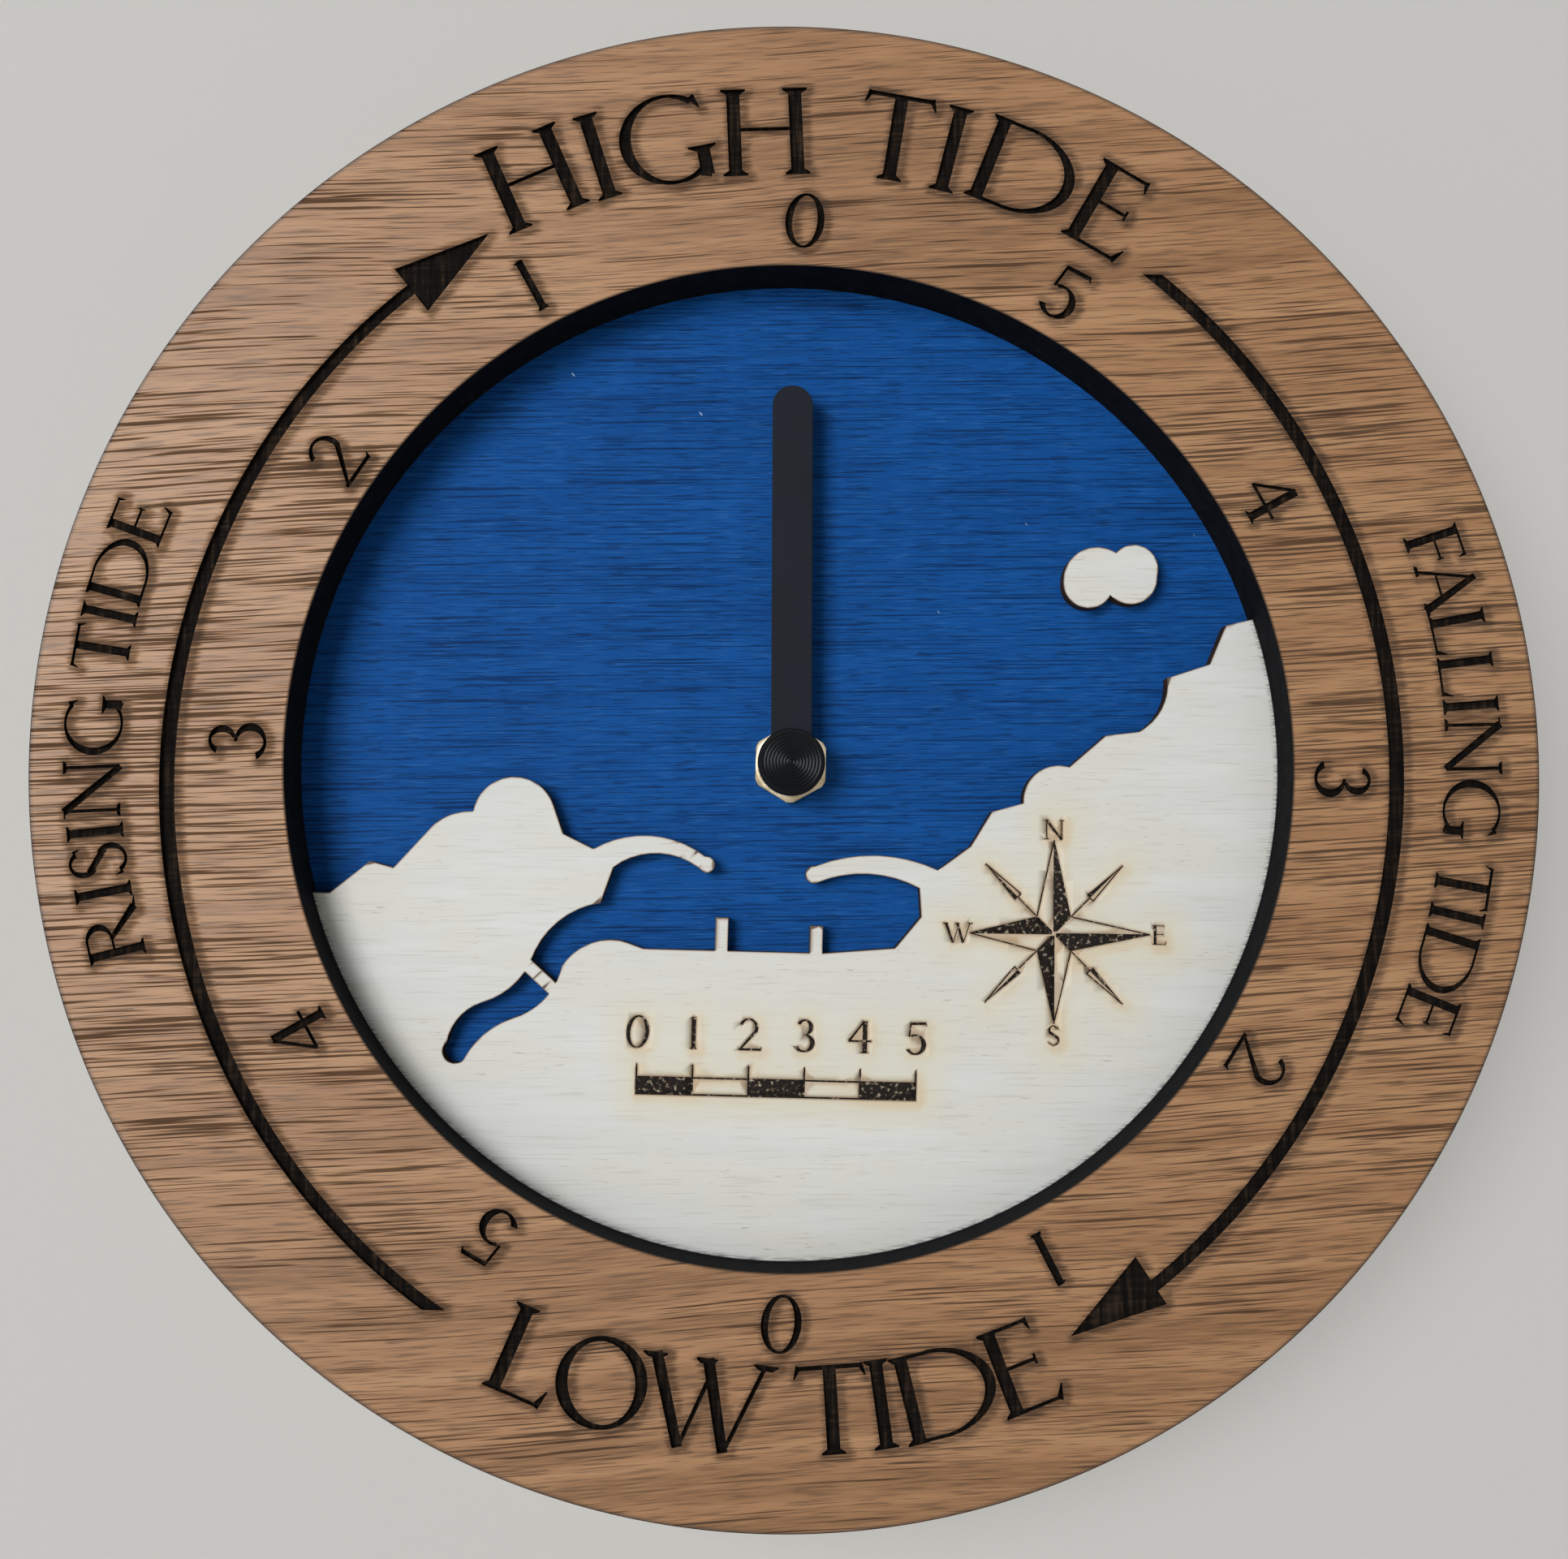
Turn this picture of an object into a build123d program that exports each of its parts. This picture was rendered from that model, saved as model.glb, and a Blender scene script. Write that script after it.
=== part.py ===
from build123d import *
import os
from math import acos, atan2, cos, degrees, hypot, pi, radians, sin, tan

# Wall tide clock, in millimetres. It is modelled lying on its back: X to the right, Y up the dial
# and Z from the wall to the viewer, with the hand's axis on Z and the wall at Z 0. The last lines
# stand it up, so that the dial faces -Y and the wall is behind it.

# Dial: four plywood rounds glued face to face
RING_DIAMETER = 250.0
OPENING_DIAMETER = 167.0
RING_THICKNESS = 3.0
SPACER_THICKNESS = 5.0
LAND_THICKNESS = 3.0
BOARD_THICKNESS = 3.0

# Tide arrows cut into the ring: each is an arc about a point beside the dial's centre, with its
# ends in degrees off the vertical as seen from that point. The falling arrow is turned half round.
ARROW_LINE = 2.4
ARROW_HEAD_LENGTH = 16.0
ARROW_HEAD_WIDTH = 9.1
RISING_CENTRE = (3.05, -2.86)
RISING_FROM_OPENING = 21.94
RISING_TIP_ANGLE = 32.0
RISING_TAIL_ANGLE = 33.3
FALLING_CENTRE = (6.38, 1.09)
FALLING_FROM_OPENING = 23.73
FALLING_TIP_ANGLE = 30.65
FALLING_TAIL_ANGLE = 36.8
ENGRAVING_DEPTH = 0.8

# Clearances
TURN_GAP = 0.3
SHAFT_FIT = 0.06
PRESS_FIT = 0.01
NEST_GAP = 0.15
BOARD_HOLE_GAP = 0.25
WHEEL_CLEARANCE = 1.0

# Hand, its collar and its cap
HAND_LENGTH = 64.6
HAND_WIDTH = 6.9
HAND_THICKNESS = 0.5
HAND_EYE_DIAMETER = 10.0
HAND_REST_ANGLE = 1.3
COLLAR_DIAMETER = 7.6
COLLAR_NECK_DIAMETER = 6.2
COLLAR_HEIGHT = 1.2
CAP_DIAMETER = 11.3
CAP_HEIGHT = 2.0
CAP_SOCKET_DEPTH = 1.0
CAP_EDGE = 0.4

# Fixing of the movement through the board
BUSH_DIAMETER = 8.0
BUSH_FLANGE_DIAMETER = 12.0
BUSH_FLANGE_THICKNESS = 0.8
BUSH_ABOVE_NUT = 1.2
NUT_ACROSS_FLATS = 12.0
NUT_THICKNESS = 2.4
NUT_CHAMFER = 0.5
WASHER_DIAMETER = 18.0
WASHER_THICKNESS = 1.0
PIPE_DIAMETER = 5.0
PIPE_BORE = 3.1

# Gear teeth
PRESSURE_ANGLE = radians(20)
ADDENDUM = 1.0
DEDENDUM = 1.35
TOOTH_SHARE = 0.84
FLANK_STEPS = 2

# Tooth counts, driver first
ROTOR_TEETH, FIFTH_TEETH = 8, 48
FIFTH_PINION_TEETH, SECONDS_TEETH = 8, 40
SECONDS_PINION_TEETH, THIRD_TEETH = 8, 60
THIRD_PINION_TEETH, CENTRE_TEETH = 8, 64
MINUTE_PINION_TEETH, MINUTE_TEETH = 10, 40
TIDE_PINION_TEETH, TIDE_TEETH = 12, 36

# Places of the arbors, as distances and as directions in degrees
TRAIN_DISTANCE = 11.0
FIFTH_DISTANCE = 9.6
THIRD_DIRECTION = 150.0
MINUTE_DIRECTION = 20.0
FIFTH_DIRECTION = 100.0
ROTOR_DIRECTION = 150.0

# Wheels and arbors
TIDE_WHEEL_THICKNESS = 1.2
MINUTE_WHEEL_THICKNESS = 1.2
CENTRE_WHEEL_THICKNESS = 1.0
THIRD_WHEEL_THICKNESS = 1.0
SECONDS_WHEEL_THICKNESS = 1.0
FIFTH_WHEEL_THICKNESS = 0.8
MINUTE_ARBOR_DIAMETER = 2.4
MINUTE_PIVOT_DIAMETER = 1.4
MINUTE_SLEEVE_DIAMETER = 3.2
MINUTE_STUB_LENGTH = 5.0
SECONDS_ARBOR_DIAMETER = 1.2
FIFTH_ARBOR_DIAMETER = 1.0
THIRD_POST_DIAMETER = 0.8
PIVOT_DEPTH = 0.8

# Motor
MAGNET_DIAMETER = 6.0
MAGNET_HUB_DIAMETER = 2.0
MAGNET_LENGTH = 3.0
ROTOR_SHAFT_DIAMETER = 1.0
STATOR_GAP = 0.5
STATOR_RIM = 1.5
STATOR_THICKNESS = 0.8
STATOR_ARM = 2.6
STATOR_STAND = 1.6
ROTOR_TO_COIL = 8.0
COIL_LENGTH = 24.0
COIL_FLANGE_DIAMETER = 4.8
COIL_FLANGE_THICKNESS = 0.6
COIL_WINDING_DIAMETER = 4.4
BOBBIN_DIAMETER = 3.4
CORE_WIDTH = 2.4
CORE_THICKNESS = 0.8

# Circuit board with its chip and crystal
CIRCUIT_WIDTH = 13.0
CIRCUIT_HEIGHT = 11.0
CIRCUIT_THICKNESS = 0.8
CIRCUIT_BELOW_PLATE = 0.8
CHIP_DIAMETER = 4.0
CHIP_HEIGHT = 0.8
CRYSTAL_DIAMETER = 2.0
CRYSTAL_LENGTH = 6.0

# Cell and its contacts
BATTERY_DIAMETER = 14.2
BATTERY_LENGTH = 50.5
BATTERY_NUB_DIAMETER = 5.4
BATTERY_NUB_LENGTH = 1.3
BATTERY_SET_IN = 0.4
BAY_CLEARANCE = 0.25
CONTACT_THICKNESS = 0.4
CONTACT_HEIGHT = 9.0
CONTACT_WIDTH = 6.0
CONTACT_LAP = 2.5
LEAF_SPACE = 2.0
LEAF_GAP = 0.05

# Case mouldings
SIDE_WALL = 1.4
REAR_WALL = 1.4
FRONT_WALL = 1.6
BAY_WALL = 1.0
BAY_SKIN = 0.7
PLATE_THICKNESS = 1.0
LEDGE = 1.2
LIP_THICKNESS = 1.0
LIP_HEIGHT = 2.0
CASE_CORNER = 4.0
POST_DIAMETER = 3.0
SMALL_POST_DIAMETER = 2.0
BOSS_DIAMETER = 2.8
KNOB_DIAMETER = 8.8
KNOB_THICKNESS = 2.4
KNOB_SET_IN = 0.4
KNOB_RIBS = 24
KNOB_RIB_DEPTH = 0.3
WELL_CLEARANCE = 0.5
WELL_WALL = 0.8
WELL_FLOOR = 1.0
HANGER_HOLE_DIAMETER = 7.0
HANGER_RIM = 3.2
HANGER_THICKNESS = 2.4
HANGER_ABOVE_CASE = 5.0


def along(distance, direction, start=(0.0, 0.0)):
    angle = radians(direction)
    return start[0] + distance * cos(angle), start[1] + distance * sin(angle)


def bearing(start, end):
    return atan2(end[1] - start[1], end[0] - start[0])


# Modules follow from the distances, and the motion work is set out to clear the centre wheel
third_module = 2 * TRAIN_DISTANCE / (SECONDS_PINION_TEETH + THIRD_TEETH)
centre_module = 2 * TRAIN_DISTANCE / (THIRD_PINION_TEETH + CENTRE_TEETH)
seconds_module = 2 * FIFTH_DISTANCE / (FIFTH_PINION_TEETH + SECONDS_TEETH)
fifth_tip = FIFTH_DISTANCE - SECONDS_ARBOR_DIAMETER / 2 - WHEEL_CLEARANCE
fifth_module = fifth_tip / (FIFTH_TEETH / 2 + ADDENDUM)
rotor_distance = fifth_module * (ROTOR_TEETH + FIFTH_TEETH) / 2
centre_tip = centre_module * (CENTRE_TEETH / 2 + ADDENDUM)
seconds_tip = seconds_module * (SECONDS_TEETH / 2 + ADDENDUM)
minute_distance = centre_tip + WHEEL_CLEARANCE + MINUTE_ARBOR_DIAMETER / 2
minute_module = 2 * minute_distance / (MINUTE_PINION_TEETH + MINUTE_TEETH)
tide_module = 2 * minute_distance / (TIDE_PINION_TEETH + TIDE_TEETH)
tide_tip = tide_module * (TIDE_TEETH / 2 + ADDENDUM)
seconds_pinion_tip = third_module * (SECONDS_PINION_TEETH / 2 + ADDENDUM)

# Arbor places
centre_at = (0.0, 0.0)
third_at = along(TRAIN_DISTANCE, THIRD_DIRECTION)
fifth_at = along(FIFTH_DISTANCE, FIFTH_DIRECTION)
minute_at = along(minute_distance, MINUTE_DIRECTION)
rotor_at = along(rotor_distance, ROTOR_DIRECTION, fifth_at)

# Depth of the case: the knob and the wheels stand one behind another beside the cell
knob_back = KNOB_SET_IN
knob_front = knob_back + KNOB_THICKNESS
well_floor_back = knob_front + TURN_GAP
well_floor_front = well_floor_back + WELL_FLOOR
rear_train = SECONDS_WHEEL_THICKNESS + FIFTH_WHEEL_THICKNESS + 3 * TURN_GAP
front_train = (THIRD_WHEEL_THICKNESS + CENTRE_WHEEL_THICKNESS + MINUTE_WHEEL_THICKNESS
               + TIDE_WHEEL_THICKNESS + 5 * TURN_GAP)
train_depth = well_floor_front + rear_train + PLATE_THICKNESS + front_train + FRONT_WALL + TURN_GAP
battery_depth = BATTERY_SET_IN + BATTERY_DIAMETER + BAY_CLEARANCE + BAY_SKIN
case_depth = max(train_depth, battery_depth)

# Levels of the wheels, from the front of the case to the back
front_inner = case_depth - FRONT_WALL
tide_front = front_inner - TURN_GAP
tide_back = tide_front - TIDE_WHEEL_THICKNESS
minute_front = tide_back - TURN_GAP
minute_back = minute_front - MINUTE_WHEEL_THICKNESS
centre_front = minute_back - TURN_GAP
centre_back = centre_front - CENTRE_WHEEL_THICKNESS
third_front = centre_back - TURN_GAP
third_back = third_front - THIRD_WHEEL_THICKNESS
plate_front = third_back - TURN_GAP
plate_back = plate_front - PLATE_THICKNESS
fifth_front = plate_back - TURN_GAP
fifth_back = fifth_front - FIFTH_WHEEL_THICKNESS
seconds_front = fifth_back - TURN_GAP
seconds_back = seconds_front - SECONDS_WHEEL_THICKNESS
stator_back = REAR_WALL + STATOR_STAND
stator_front = stator_back + STATOR_THICKNESS
magnet_back = (stator_back + stator_front - MAGNET_LENGTH) / 2
magnet_front = magnet_back + MAGNET_LENGTH
core_level = stator_front + CORE_THICKNESS / 2
circuit_front = plate_back - CIRCUIT_BELOW_PLATE
circuit_back = circuit_front - CIRCUIT_THICKNESS
strip_back = REAR_WALL + LIP_HEIGHT + TURN_GAP

# Levels in front of the case
board_back = case_depth + WASHER_THICKNESS
board_front = board_back + BOARD_THICKNESS
land_front = board_front + LAND_THICKNESS
spacer_front = land_front + SPACER_THICKNESS
ring_front = spacer_front + RING_THICKNESS
nut_front = board_front + NUT_THICKNESS
bush_front = nut_front + BUSH_ABOVE_NUT
collar_back = bush_front + TURN_GAP
hand_back = collar_back + COLLAR_HEIGHT
hand_front = hand_back + HAND_THICKNESS
pipe_front = hand_front + CAP_SOCKET_DEPTH
cap_front = hand_front + CAP_HEIGHT

# Outline of the case: wide enough for the cell or for the coil and the circuit board
core_length = COIL_LENGTH + 2 * (TURN_GAP + STATOR_ARM)
arm_offset = (core_length - STATOR_ARM) / 2
contact_room = CONTACT_THICKNESS + TURN_GAP
cell_half = (BATTERY_LENGTH + LEAF_SPACE) / 2 + contact_room
coil_half = core_length / 2 - rotor_at[0] + LIP_THICKNESS + WHEEL_CLEARANCE
inner_half = max(cell_half, coil_half)
coil_y = rotor_at[1] + ROTOR_TO_COIL
inner_top = coil_y + COIL_FLANGE_DIAMETER / 2 + NEST_GAP + LIP_THICKNESS + TURN_GAP
wall_top = -(max(centre_tip, tide_tip, seconds_tip) + WHEEL_CLEARANCE)
bay_top = wall_top - BAY_WALL
bay_bottom = bay_top - BATTERY_DIAMETER - 2 * BAY_CLEARANCE
battery_y = (bay_top + bay_bottom) / 2
battery_z = BATTERY_SET_IN + BATTERY_DIAMETER / 2
battery_right = inner_half - contact_room - LEAF_GAP
battery_left = battery_right - BATTERY_LENGTH
case_top = inner_top + SIDE_WALL
case_bottom = bay_bottom - SIDE_WALL
case_width = 2 * (inner_half + SIDE_WALL)
case_height = case_top - case_bottom
case_middle = (case_top + case_bottom) / 2
circuit_right = inner_half - NEST_GAP - LIP_THICKNESS - TURN_GAP
circuit_left = circuit_right - CIRCUIT_WIDTH
circuit_top = inner_top - NEST_GAP - LIP_THICKNESS - TURN_GAP
circuit_bottom = circuit_top - CIRCUIT_HEIGHT
rail_y = wall_top + NEST_GAP + CONTACT_THICKNESS / 2
rail_x = (minute_at[0] + KNOB_DIAMETER / 2 + WELL_CLEARANCE + WELL_WALL
          + WHEEL_CLEARANCE + CONTACT_THICKNESS / 2)
rail_x = max(rail_x, circuit_left + SMALL_POST_DIAMETER + WHEEL_CLEARANCE)
contact_x = inner_half - TURN_GAP - CONTACT_THICKNESS / 2
hanger_y = case_top + HANGER_ABOVE_CASE
well_radius = KNOB_DIAMETER / 2 + WELL_CLEARANCE


def slab(face, back, front):
    return Pos(0, 0, back) * extrude(face, amount=front - back)


def rod(diameter, back, front, at=(0.0, 0.0)):
    return slab(Pos(*at) * Circle(diameter / 2), back, front)


def block(left, right, bottom, top, back, front):
    face = Pos((left + right) / 2, (bottom + top) / 2) * Rectangle(right - left, top - bottom)
    return slab(face, back, front)


def bar_along_x(face, left, right):
    return Pos(left, 0, 0) * (Plane.YZ * extrude(face, amount=right - left))


def outline(start, steps):
    # Each step is a point to draw a line to, or a pair of points to draw an arc through
    edges = []
    here = start
    for step in steps:
        if isinstance(step[0], tuple):
            through, end = step
            edges.append(ThreePointArc(here, through, end))
        else:
            end = step
            edges.append(Line(here, end))
        here = end
    if here != start:
        edges.append(Line(here, start))
    return make_face(edges)


def bent_strip(points):
    # Sheet metal on edge: one rectangle for each run, lapped at the corners
    face = None
    for start, end in zip(points, points[1:]):
        middle = ((start[0] + end[0]) / 2, (start[1] + end[1]) / 2)
        length = hypot(end[0] - start[0], end[1] - start[1]) + CONTACT_THICKNESS
        run = Pos(*middle) * Rot(0, 0, degrees(bearing(start, end))) * Rectangle(length, CONTACT_THICKNESS)
        face = run if face is None else face + run
    return face


def involute(angle):
    return tan(angle) - angle


def gear(teeth, module, facing):
    # Involute outline with the middle of a tooth on the direction given in radians
    pitch = teeth * module / 2
    base = pitch * cos(PRESSURE_ANGLE)
    tip = pitch + ADDENDUM * module
    root = pitch - DEDENDUM * module
    start = max(root, base)
    half_tooth = pi / (2 * teeth) * TOOTH_SHARE + involute(PRESSURE_ANGLE)
    radii = [start + (tip - start) * step / FLANK_STEPS for step in range(FLANK_STEPS + 1)]
    flank = [(radius, half_tooth - involute(acos(base / radius))) for radius in radii]
    if root < base:
        flank.insert(0, (root, flank[0][1]))
    points = []
    for tooth in range(teeth):
        middle = facing + 2 * pi * tooth / teeth
        points += [(r * cos(middle - a), r * sin(middle - a)) for r, a in flank]
        points += [(r * cos(middle + a), r * sin(middle + a)) for r, a in reversed(flank)]
    return make_face(Polyline(*points, close=True))


def driver(teeth, module, at, partner):
    # A tooth points at the partner
    return Pos(*at) * gear(teeth, module, bearing(at, partner))


def driven(teeth, module, at, partner):
    # A gap points at the partner
    return Pos(*at) * gear(teeth, module, bearing(at, partner) + pi / teeth)


# Dial
def tide_arrow(start, from_opening, tip_angle, tail_angle):
    # An arrow that climbs on the left, from low tide to high tide; angles run from the X axis
    radius = OPENING_DIAMETER / 2 + from_opening
    tip = 90 + tip_angle
    tail = 270 - tail_angle
    neck = tip + degrees(ARROW_HEAD_LENGTH / radius)
    half_way = (tail + neck) / 2
    inner = radius - ARROW_LINE / 2
    outer = radius + ARROW_LINE / 2
    line = outline(along(inner, tail, start), [
        along(outer, tail, start),
        (along(outer, half_way, start), along(outer, neck, start)),
        along(inner, neck, start),
        (along(inner, half_way, start), along(inner, tail, start)),
    ])
    head = outline(along(radius, tip, start), [
        along(radius - ARROW_HEAD_WIDTH / 2, neck, start),
        along(radius + ARROW_HEAD_WIDTH / 2, neck, start),
    ])
    return line + head


def dial_ring():
    face = Circle(RING_DIAMETER / 2) - Circle(OPENING_DIAMETER / 2)
    ring = slab(face, spacer_front, ring_front)
    rising = tide_arrow(RISING_CENTRE, RISING_FROM_OPENING, RISING_TIP_ANGLE, RISING_TAIL_ANGLE)
    falling = tide_arrow(FALLING_CENTRE, FALLING_FROM_OPENING, FALLING_TIP_ANGLE, FALLING_TAIL_ANGLE)
    for arrow in (rising, Rot(0, 0, 180) * falling):
        ring -= slab(arrow, ring_front - ENGRAVING_DEPTH, ring_front)
    return ring


def spacer_ring():
    return slab(Circle(RING_DIAMETER / 2) - Circle(OPENING_DIAMETER / 2), land_front, spacer_front)


def land_outline():
    # An imagined harbour: a headland, two curved breakwaters round a basin with jetties, a creek
    # that leaves the basin on the left, and a coast that climbs to the right
    far = RING_DIAMETER / 2
    coast = outline((-far, -24), [
        (-77, -24),
        (-70.5, -18.5),
        (-66.5, -19.5),
        (-60, -12),
        ((-57, -10.2), (-53.5, -9.6)),
        ((-47, -3.6), (-40, -8.2)),
        (-38.2, -13),
        (-33, -15.4),
        ((-23.5, -12.9), (-14, -16.2)),
        ((-12.4, -17.6), (-14.2, -18.9)),
        ((-22.5, -15.9), (-29.5, -18.4)),
        (-31.5, -24.5),
        ((-38.2, -27.6), (-43, -35)),
        ((-46.2, -39.2), (-51, -41.8)),
        ((-54.6, -44.4), (-56.4, -48.4)),
        ((-56.4, -51.4), (-53.6, -51.4)),
        ((-50.2, -46.9), (-45.6, -44.2)),
        ((-40, -40.4), (-37.6, -35.2)),
        ((-33.6, -31.6), (-27.5, -30.8)),
        (-24, -32),
        (-12, -32),
        (-12, -26.4),
        (-9.8, -26.4),
        (-9.8, -32),
        (4, -32),
        (4, -27.4),
        (6.2, -27.4),
        (6.2, -32),
        (18.5, -30.8),
        (22.8, -25.4),
        (22.4, -20.6),
        ((13.4, -18.4), (4.8, -20.2)),
        ((3, -18.8), (4.6, -17.3)),
        ((14.2, -15.2), (25.5, -17.4)),
        (31, -13.2),
        (34.5, -7.2),
        (39.8, -5.6),
        ((42, -0.4), (47.6, 0.8)),
        (53.8, 6.4),
        (59.5, 7.2),
        ((63.4, 11.5), (64.2, 16.6)),
        (71.5, 19.2),
        (74.2, 26),
        (79.5, 27.4),
        (far, 31),
        (far, -far),
        (-far, -far),
    ])
    bridge = Pos(-41, -37.4) * Rot(0, 0, -41) * Rectangle(12, 2.2)
    return coast + bridge


def land_layer():
    sea = Circle(OPENING_DIAMETER / 2) - land_outline()
    return slab(Circle(RING_DIAMETER / 2) - sea, board_front, land_front)


def islet():
    shore = outline((46, 33), [
        ((49.5, 38.4), (55, 38)),
        ((60.8, 38.6), (62.2, 34.2)),
        ((60, 29.8), (54.2, 30.6)),
        ((48.6, 28.6), (46, 33)),
    ])
    return slab(shore, board_front, land_front)


def sea_board():
    hole = BUSH_DIAMETER / 2 + BOARD_HOLE_GAP
    return slab(Circle(RING_DIAMETER / 2) - Circle(hole), board_back, board_front)


# Fixing
def rubber_washer():
    hole = BUSH_DIAMETER / 2 + NEST_GAP
    return slab(Circle(WASHER_DIAMETER / 2) - Circle(hole), case_depth, board_back)


def threaded_bush():
    bush = rod(BUSH_DIAMETER, front_inner, bush_front)
    bush += rod(BUSH_FLANGE_DIAMETER, front_inner, front_inner + BUSH_FLANGE_THICKNESS)
    return bush - rod(PIPE_DIAMETER + 2 * SHAFT_FIT, front_inner, bush_front)


def mounting_nut():
    across_corners = NUT_ACROSS_FLATS / cos(pi / 6)
    hexagon = slab(RegularPolygon(across_corners / 2, 6, rotation=30), board_front, nut_front)
    turned = rod(across_corners, board_front, nut_front)
    turned = chamfer(turned.edges().group_by(Axis.Z)[-1], NUT_CHAMFER, 2 * NUT_CHAMFER)
    return (hexagon & turned) - rod(BUSH_DIAMETER + 2 * PRESS_FIT, board_front, nut_front)


# Hand
def tide_hand():
    reach = HAND_LENGTH - HAND_WIDTH / 2
    blade = Pos(0, reach / 2) * Rectangle(HAND_WIDTH, reach) + Pos(0, reach) * Circle(HAND_WIDTH / 2)
    face = blade + Circle(HAND_EYE_DIAMETER / 2) - Circle(COLLAR_NECK_DIAMETER / 2 + PRESS_FIT)
    return slab(Rot(0, 0, HAND_REST_ANGLE) * face, hand_back, hand_front)


def hand_collar():
    collar = rod(COLLAR_DIAMETER, collar_back, hand_back) + rod(COLLAR_NECK_DIAMETER, hand_back, hand_front)
    return collar - rod(PIPE_DIAMETER + 2 * PRESS_FIT, collar_back, hand_front)


def hand_cap():
    cap = rod(CAP_DIAMETER, hand_front, cap_front)
    cap = fillet(cap.edges().group_by(Axis.Z)[-1], CAP_EDGE)
    return cap - rod(PIPE_DIAMETER + 2 * PRESS_FIT, hand_front, pipe_front)


# Motion work
def tide_wheel():
    wheel = slab(driven(TIDE_TEETH, tide_module, centre_at, minute_at), tide_back, tide_front)
    wheel += rod(PIPE_DIAMETER, tide_back, pipe_front)
    return wheel - rod(PIPE_BORE, tide_back, pipe_front)


def minute_pinion():
    teeth = driver(MINUTE_PINION_TEETH, minute_module, centre_at, minute_at)
    pinion = slab(teeth, minute_back, minute_front)
    pinion += rod(MINUTE_SLEEVE_DIAMETER, centre_back, minute_back)
    pinion += rod(PIPE_BORE - 2 * SHAFT_FIT, minute_front, tide_front + MINUTE_STUB_LENGTH)
    bore = SECONDS_ARBOR_DIAMETER + 2 * SHAFT_FIT
    return pinion - rod(bore, centre_back, tide_front + MINUTE_STUB_LENGTH)


def minute_wheel():
    wheel = slab(driven(MINUTE_TEETH, minute_module, minute_at, centre_at), minute_back, minute_front)
    pinion = driver(TIDE_PINION_TEETH, tide_module, minute_at, centre_at)
    wheel += slab(pinion, minute_front, tide_front)
    wheel += rod(MINUTE_ARBOR_DIAMETER, knob_back, minute_back, minute_at)
    return wheel + rod(MINUTE_PIVOT_DIAMETER, tide_front, front_inner + PIVOT_DEPTH, minute_at)


def set_knob():
    knob = rod(KNOB_DIAMETER, knob_back, knob_front, minute_at)
    for rib in range(KNOB_RIBS):
        groove = along(KNOB_DIAMETER / 2, 360 * rib / KNOB_RIBS, minute_at)
        knob -= rod(2 * KNOB_RIB_DEPTH, knob_back, knob_front, groove)
    return knob - rod(MINUTE_ARBOR_DIAMETER + 2 * PRESS_FIT, knob_back, knob_front, minute_at)


# Going train
def centre_wheel():
    wheel = slab(driven(CENTRE_TEETH, centre_module, centre_at, third_at), centre_back, centre_front)
    return wheel - rod(MINUTE_SLEEVE_DIAMETER + 2 * SHAFT_FIT, centre_back, centre_front)


def third_wheel():
    wheel = slab(driven(THIRD_TEETH, third_module, third_at, centre_at), third_back, third_front)
    pinion = driver(THIRD_PINION_TEETH, centre_module, third_at, centre_at)
    wheel += slab(pinion, third_front, centre_front)
    return wheel - rod(THIRD_POST_DIAMETER + 2 * SHAFT_FIT, third_back, centre_front, third_at)


def seconds_wheel():
    wheel = slab(driven(SECONDS_TEETH, seconds_module, centre_at, fifth_at), seconds_back, seconds_front)
    pinion = driver(SECONDS_PINION_TEETH, third_module, centre_at, third_at)
    wheel += slab(pinion, third_back, third_front)
    return wheel + rod(SECONDS_ARBOR_DIAMETER, seconds_back - TURN_GAP - PIVOT_DEPTH, minute_front)


def fifth_wheel():
    wheel = slab(driven(FIFTH_TEETH, fifth_module, fifth_at, rotor_at), fifth_back, fifth_front)
    pinion = driver(FIFTH_PINION_TEETH, seconds_module, fifth_at, centre_at)
    wheel += slab(pinion, seconds_back, fifth_back)
    arbor_back = seconds_back - TURN_GAP - PIVOT_DEPTH
    return wheel + rod(FIFTH_ARBOR_DIAMETER, arbor_back, plate_back + PIVOT_DEPTH, fifth_at)


def rotor_pinion():
    teeth = driver(ROTOR_TEETH, fifth_module, rotor_at, fifth_at)
    pinion = slab(teeth, fifth_back, fifth_front)
    pinion += rod(MAGNET_HUB_DIAMETER, magnet_back, magnet_front, rotor_at)
    shaft_back = magnet_back - TURN_GAP - PIVOT_DEPTH
    return pinion + rod(ROTOR_SHAFT_DIAMETER, shaft_back, plate_back + PIVOT_DEPTH, rotor_at)


def rotor_magnet():
    face = Circle(MAGNET_DIAMETER / 2) - Circle(MAGNET_HUB_DIAMETER / 2 + PRESS_FIT)
    return slab(Pos(*rotor_at) * face, magnet_back, magnet_front)


# Motor and circuit
def stator():
    rim = MAGNET_DIAMETER / 2 + STATOR_GAP + STATOR_RIM
    face = Pos(*rotor_at) * (Circle(rim) + Rectangle(core_length, STATOR_ARM))
    for side in (-1, 1):
        arm_top = coil_y + CORE_WIDTH / 2
        arm_at = (rotor_at[0] + side * arm_offset, (rotor_at[1] + arm_top) / 2)
        face += Pos(*arm_at) * Rectangle(STATOR_ARM, arm_top - rotor_at[1])
    face -= Pos(*rotor_at) * Circle(MAGNET_DIAMETER / 2 + STATOR_GAP)
    return slab(face, stator_back, stator_front)


def coil_core():
    left = rotor_at[0] - core_length / 2
    low = coil_y - CORE_WIDTH / 2
    front = stator_front + CORE_THICKNESS
    return block(left, left + core_length, low, low + CORE_WIDTH, stator_front, front)


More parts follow.
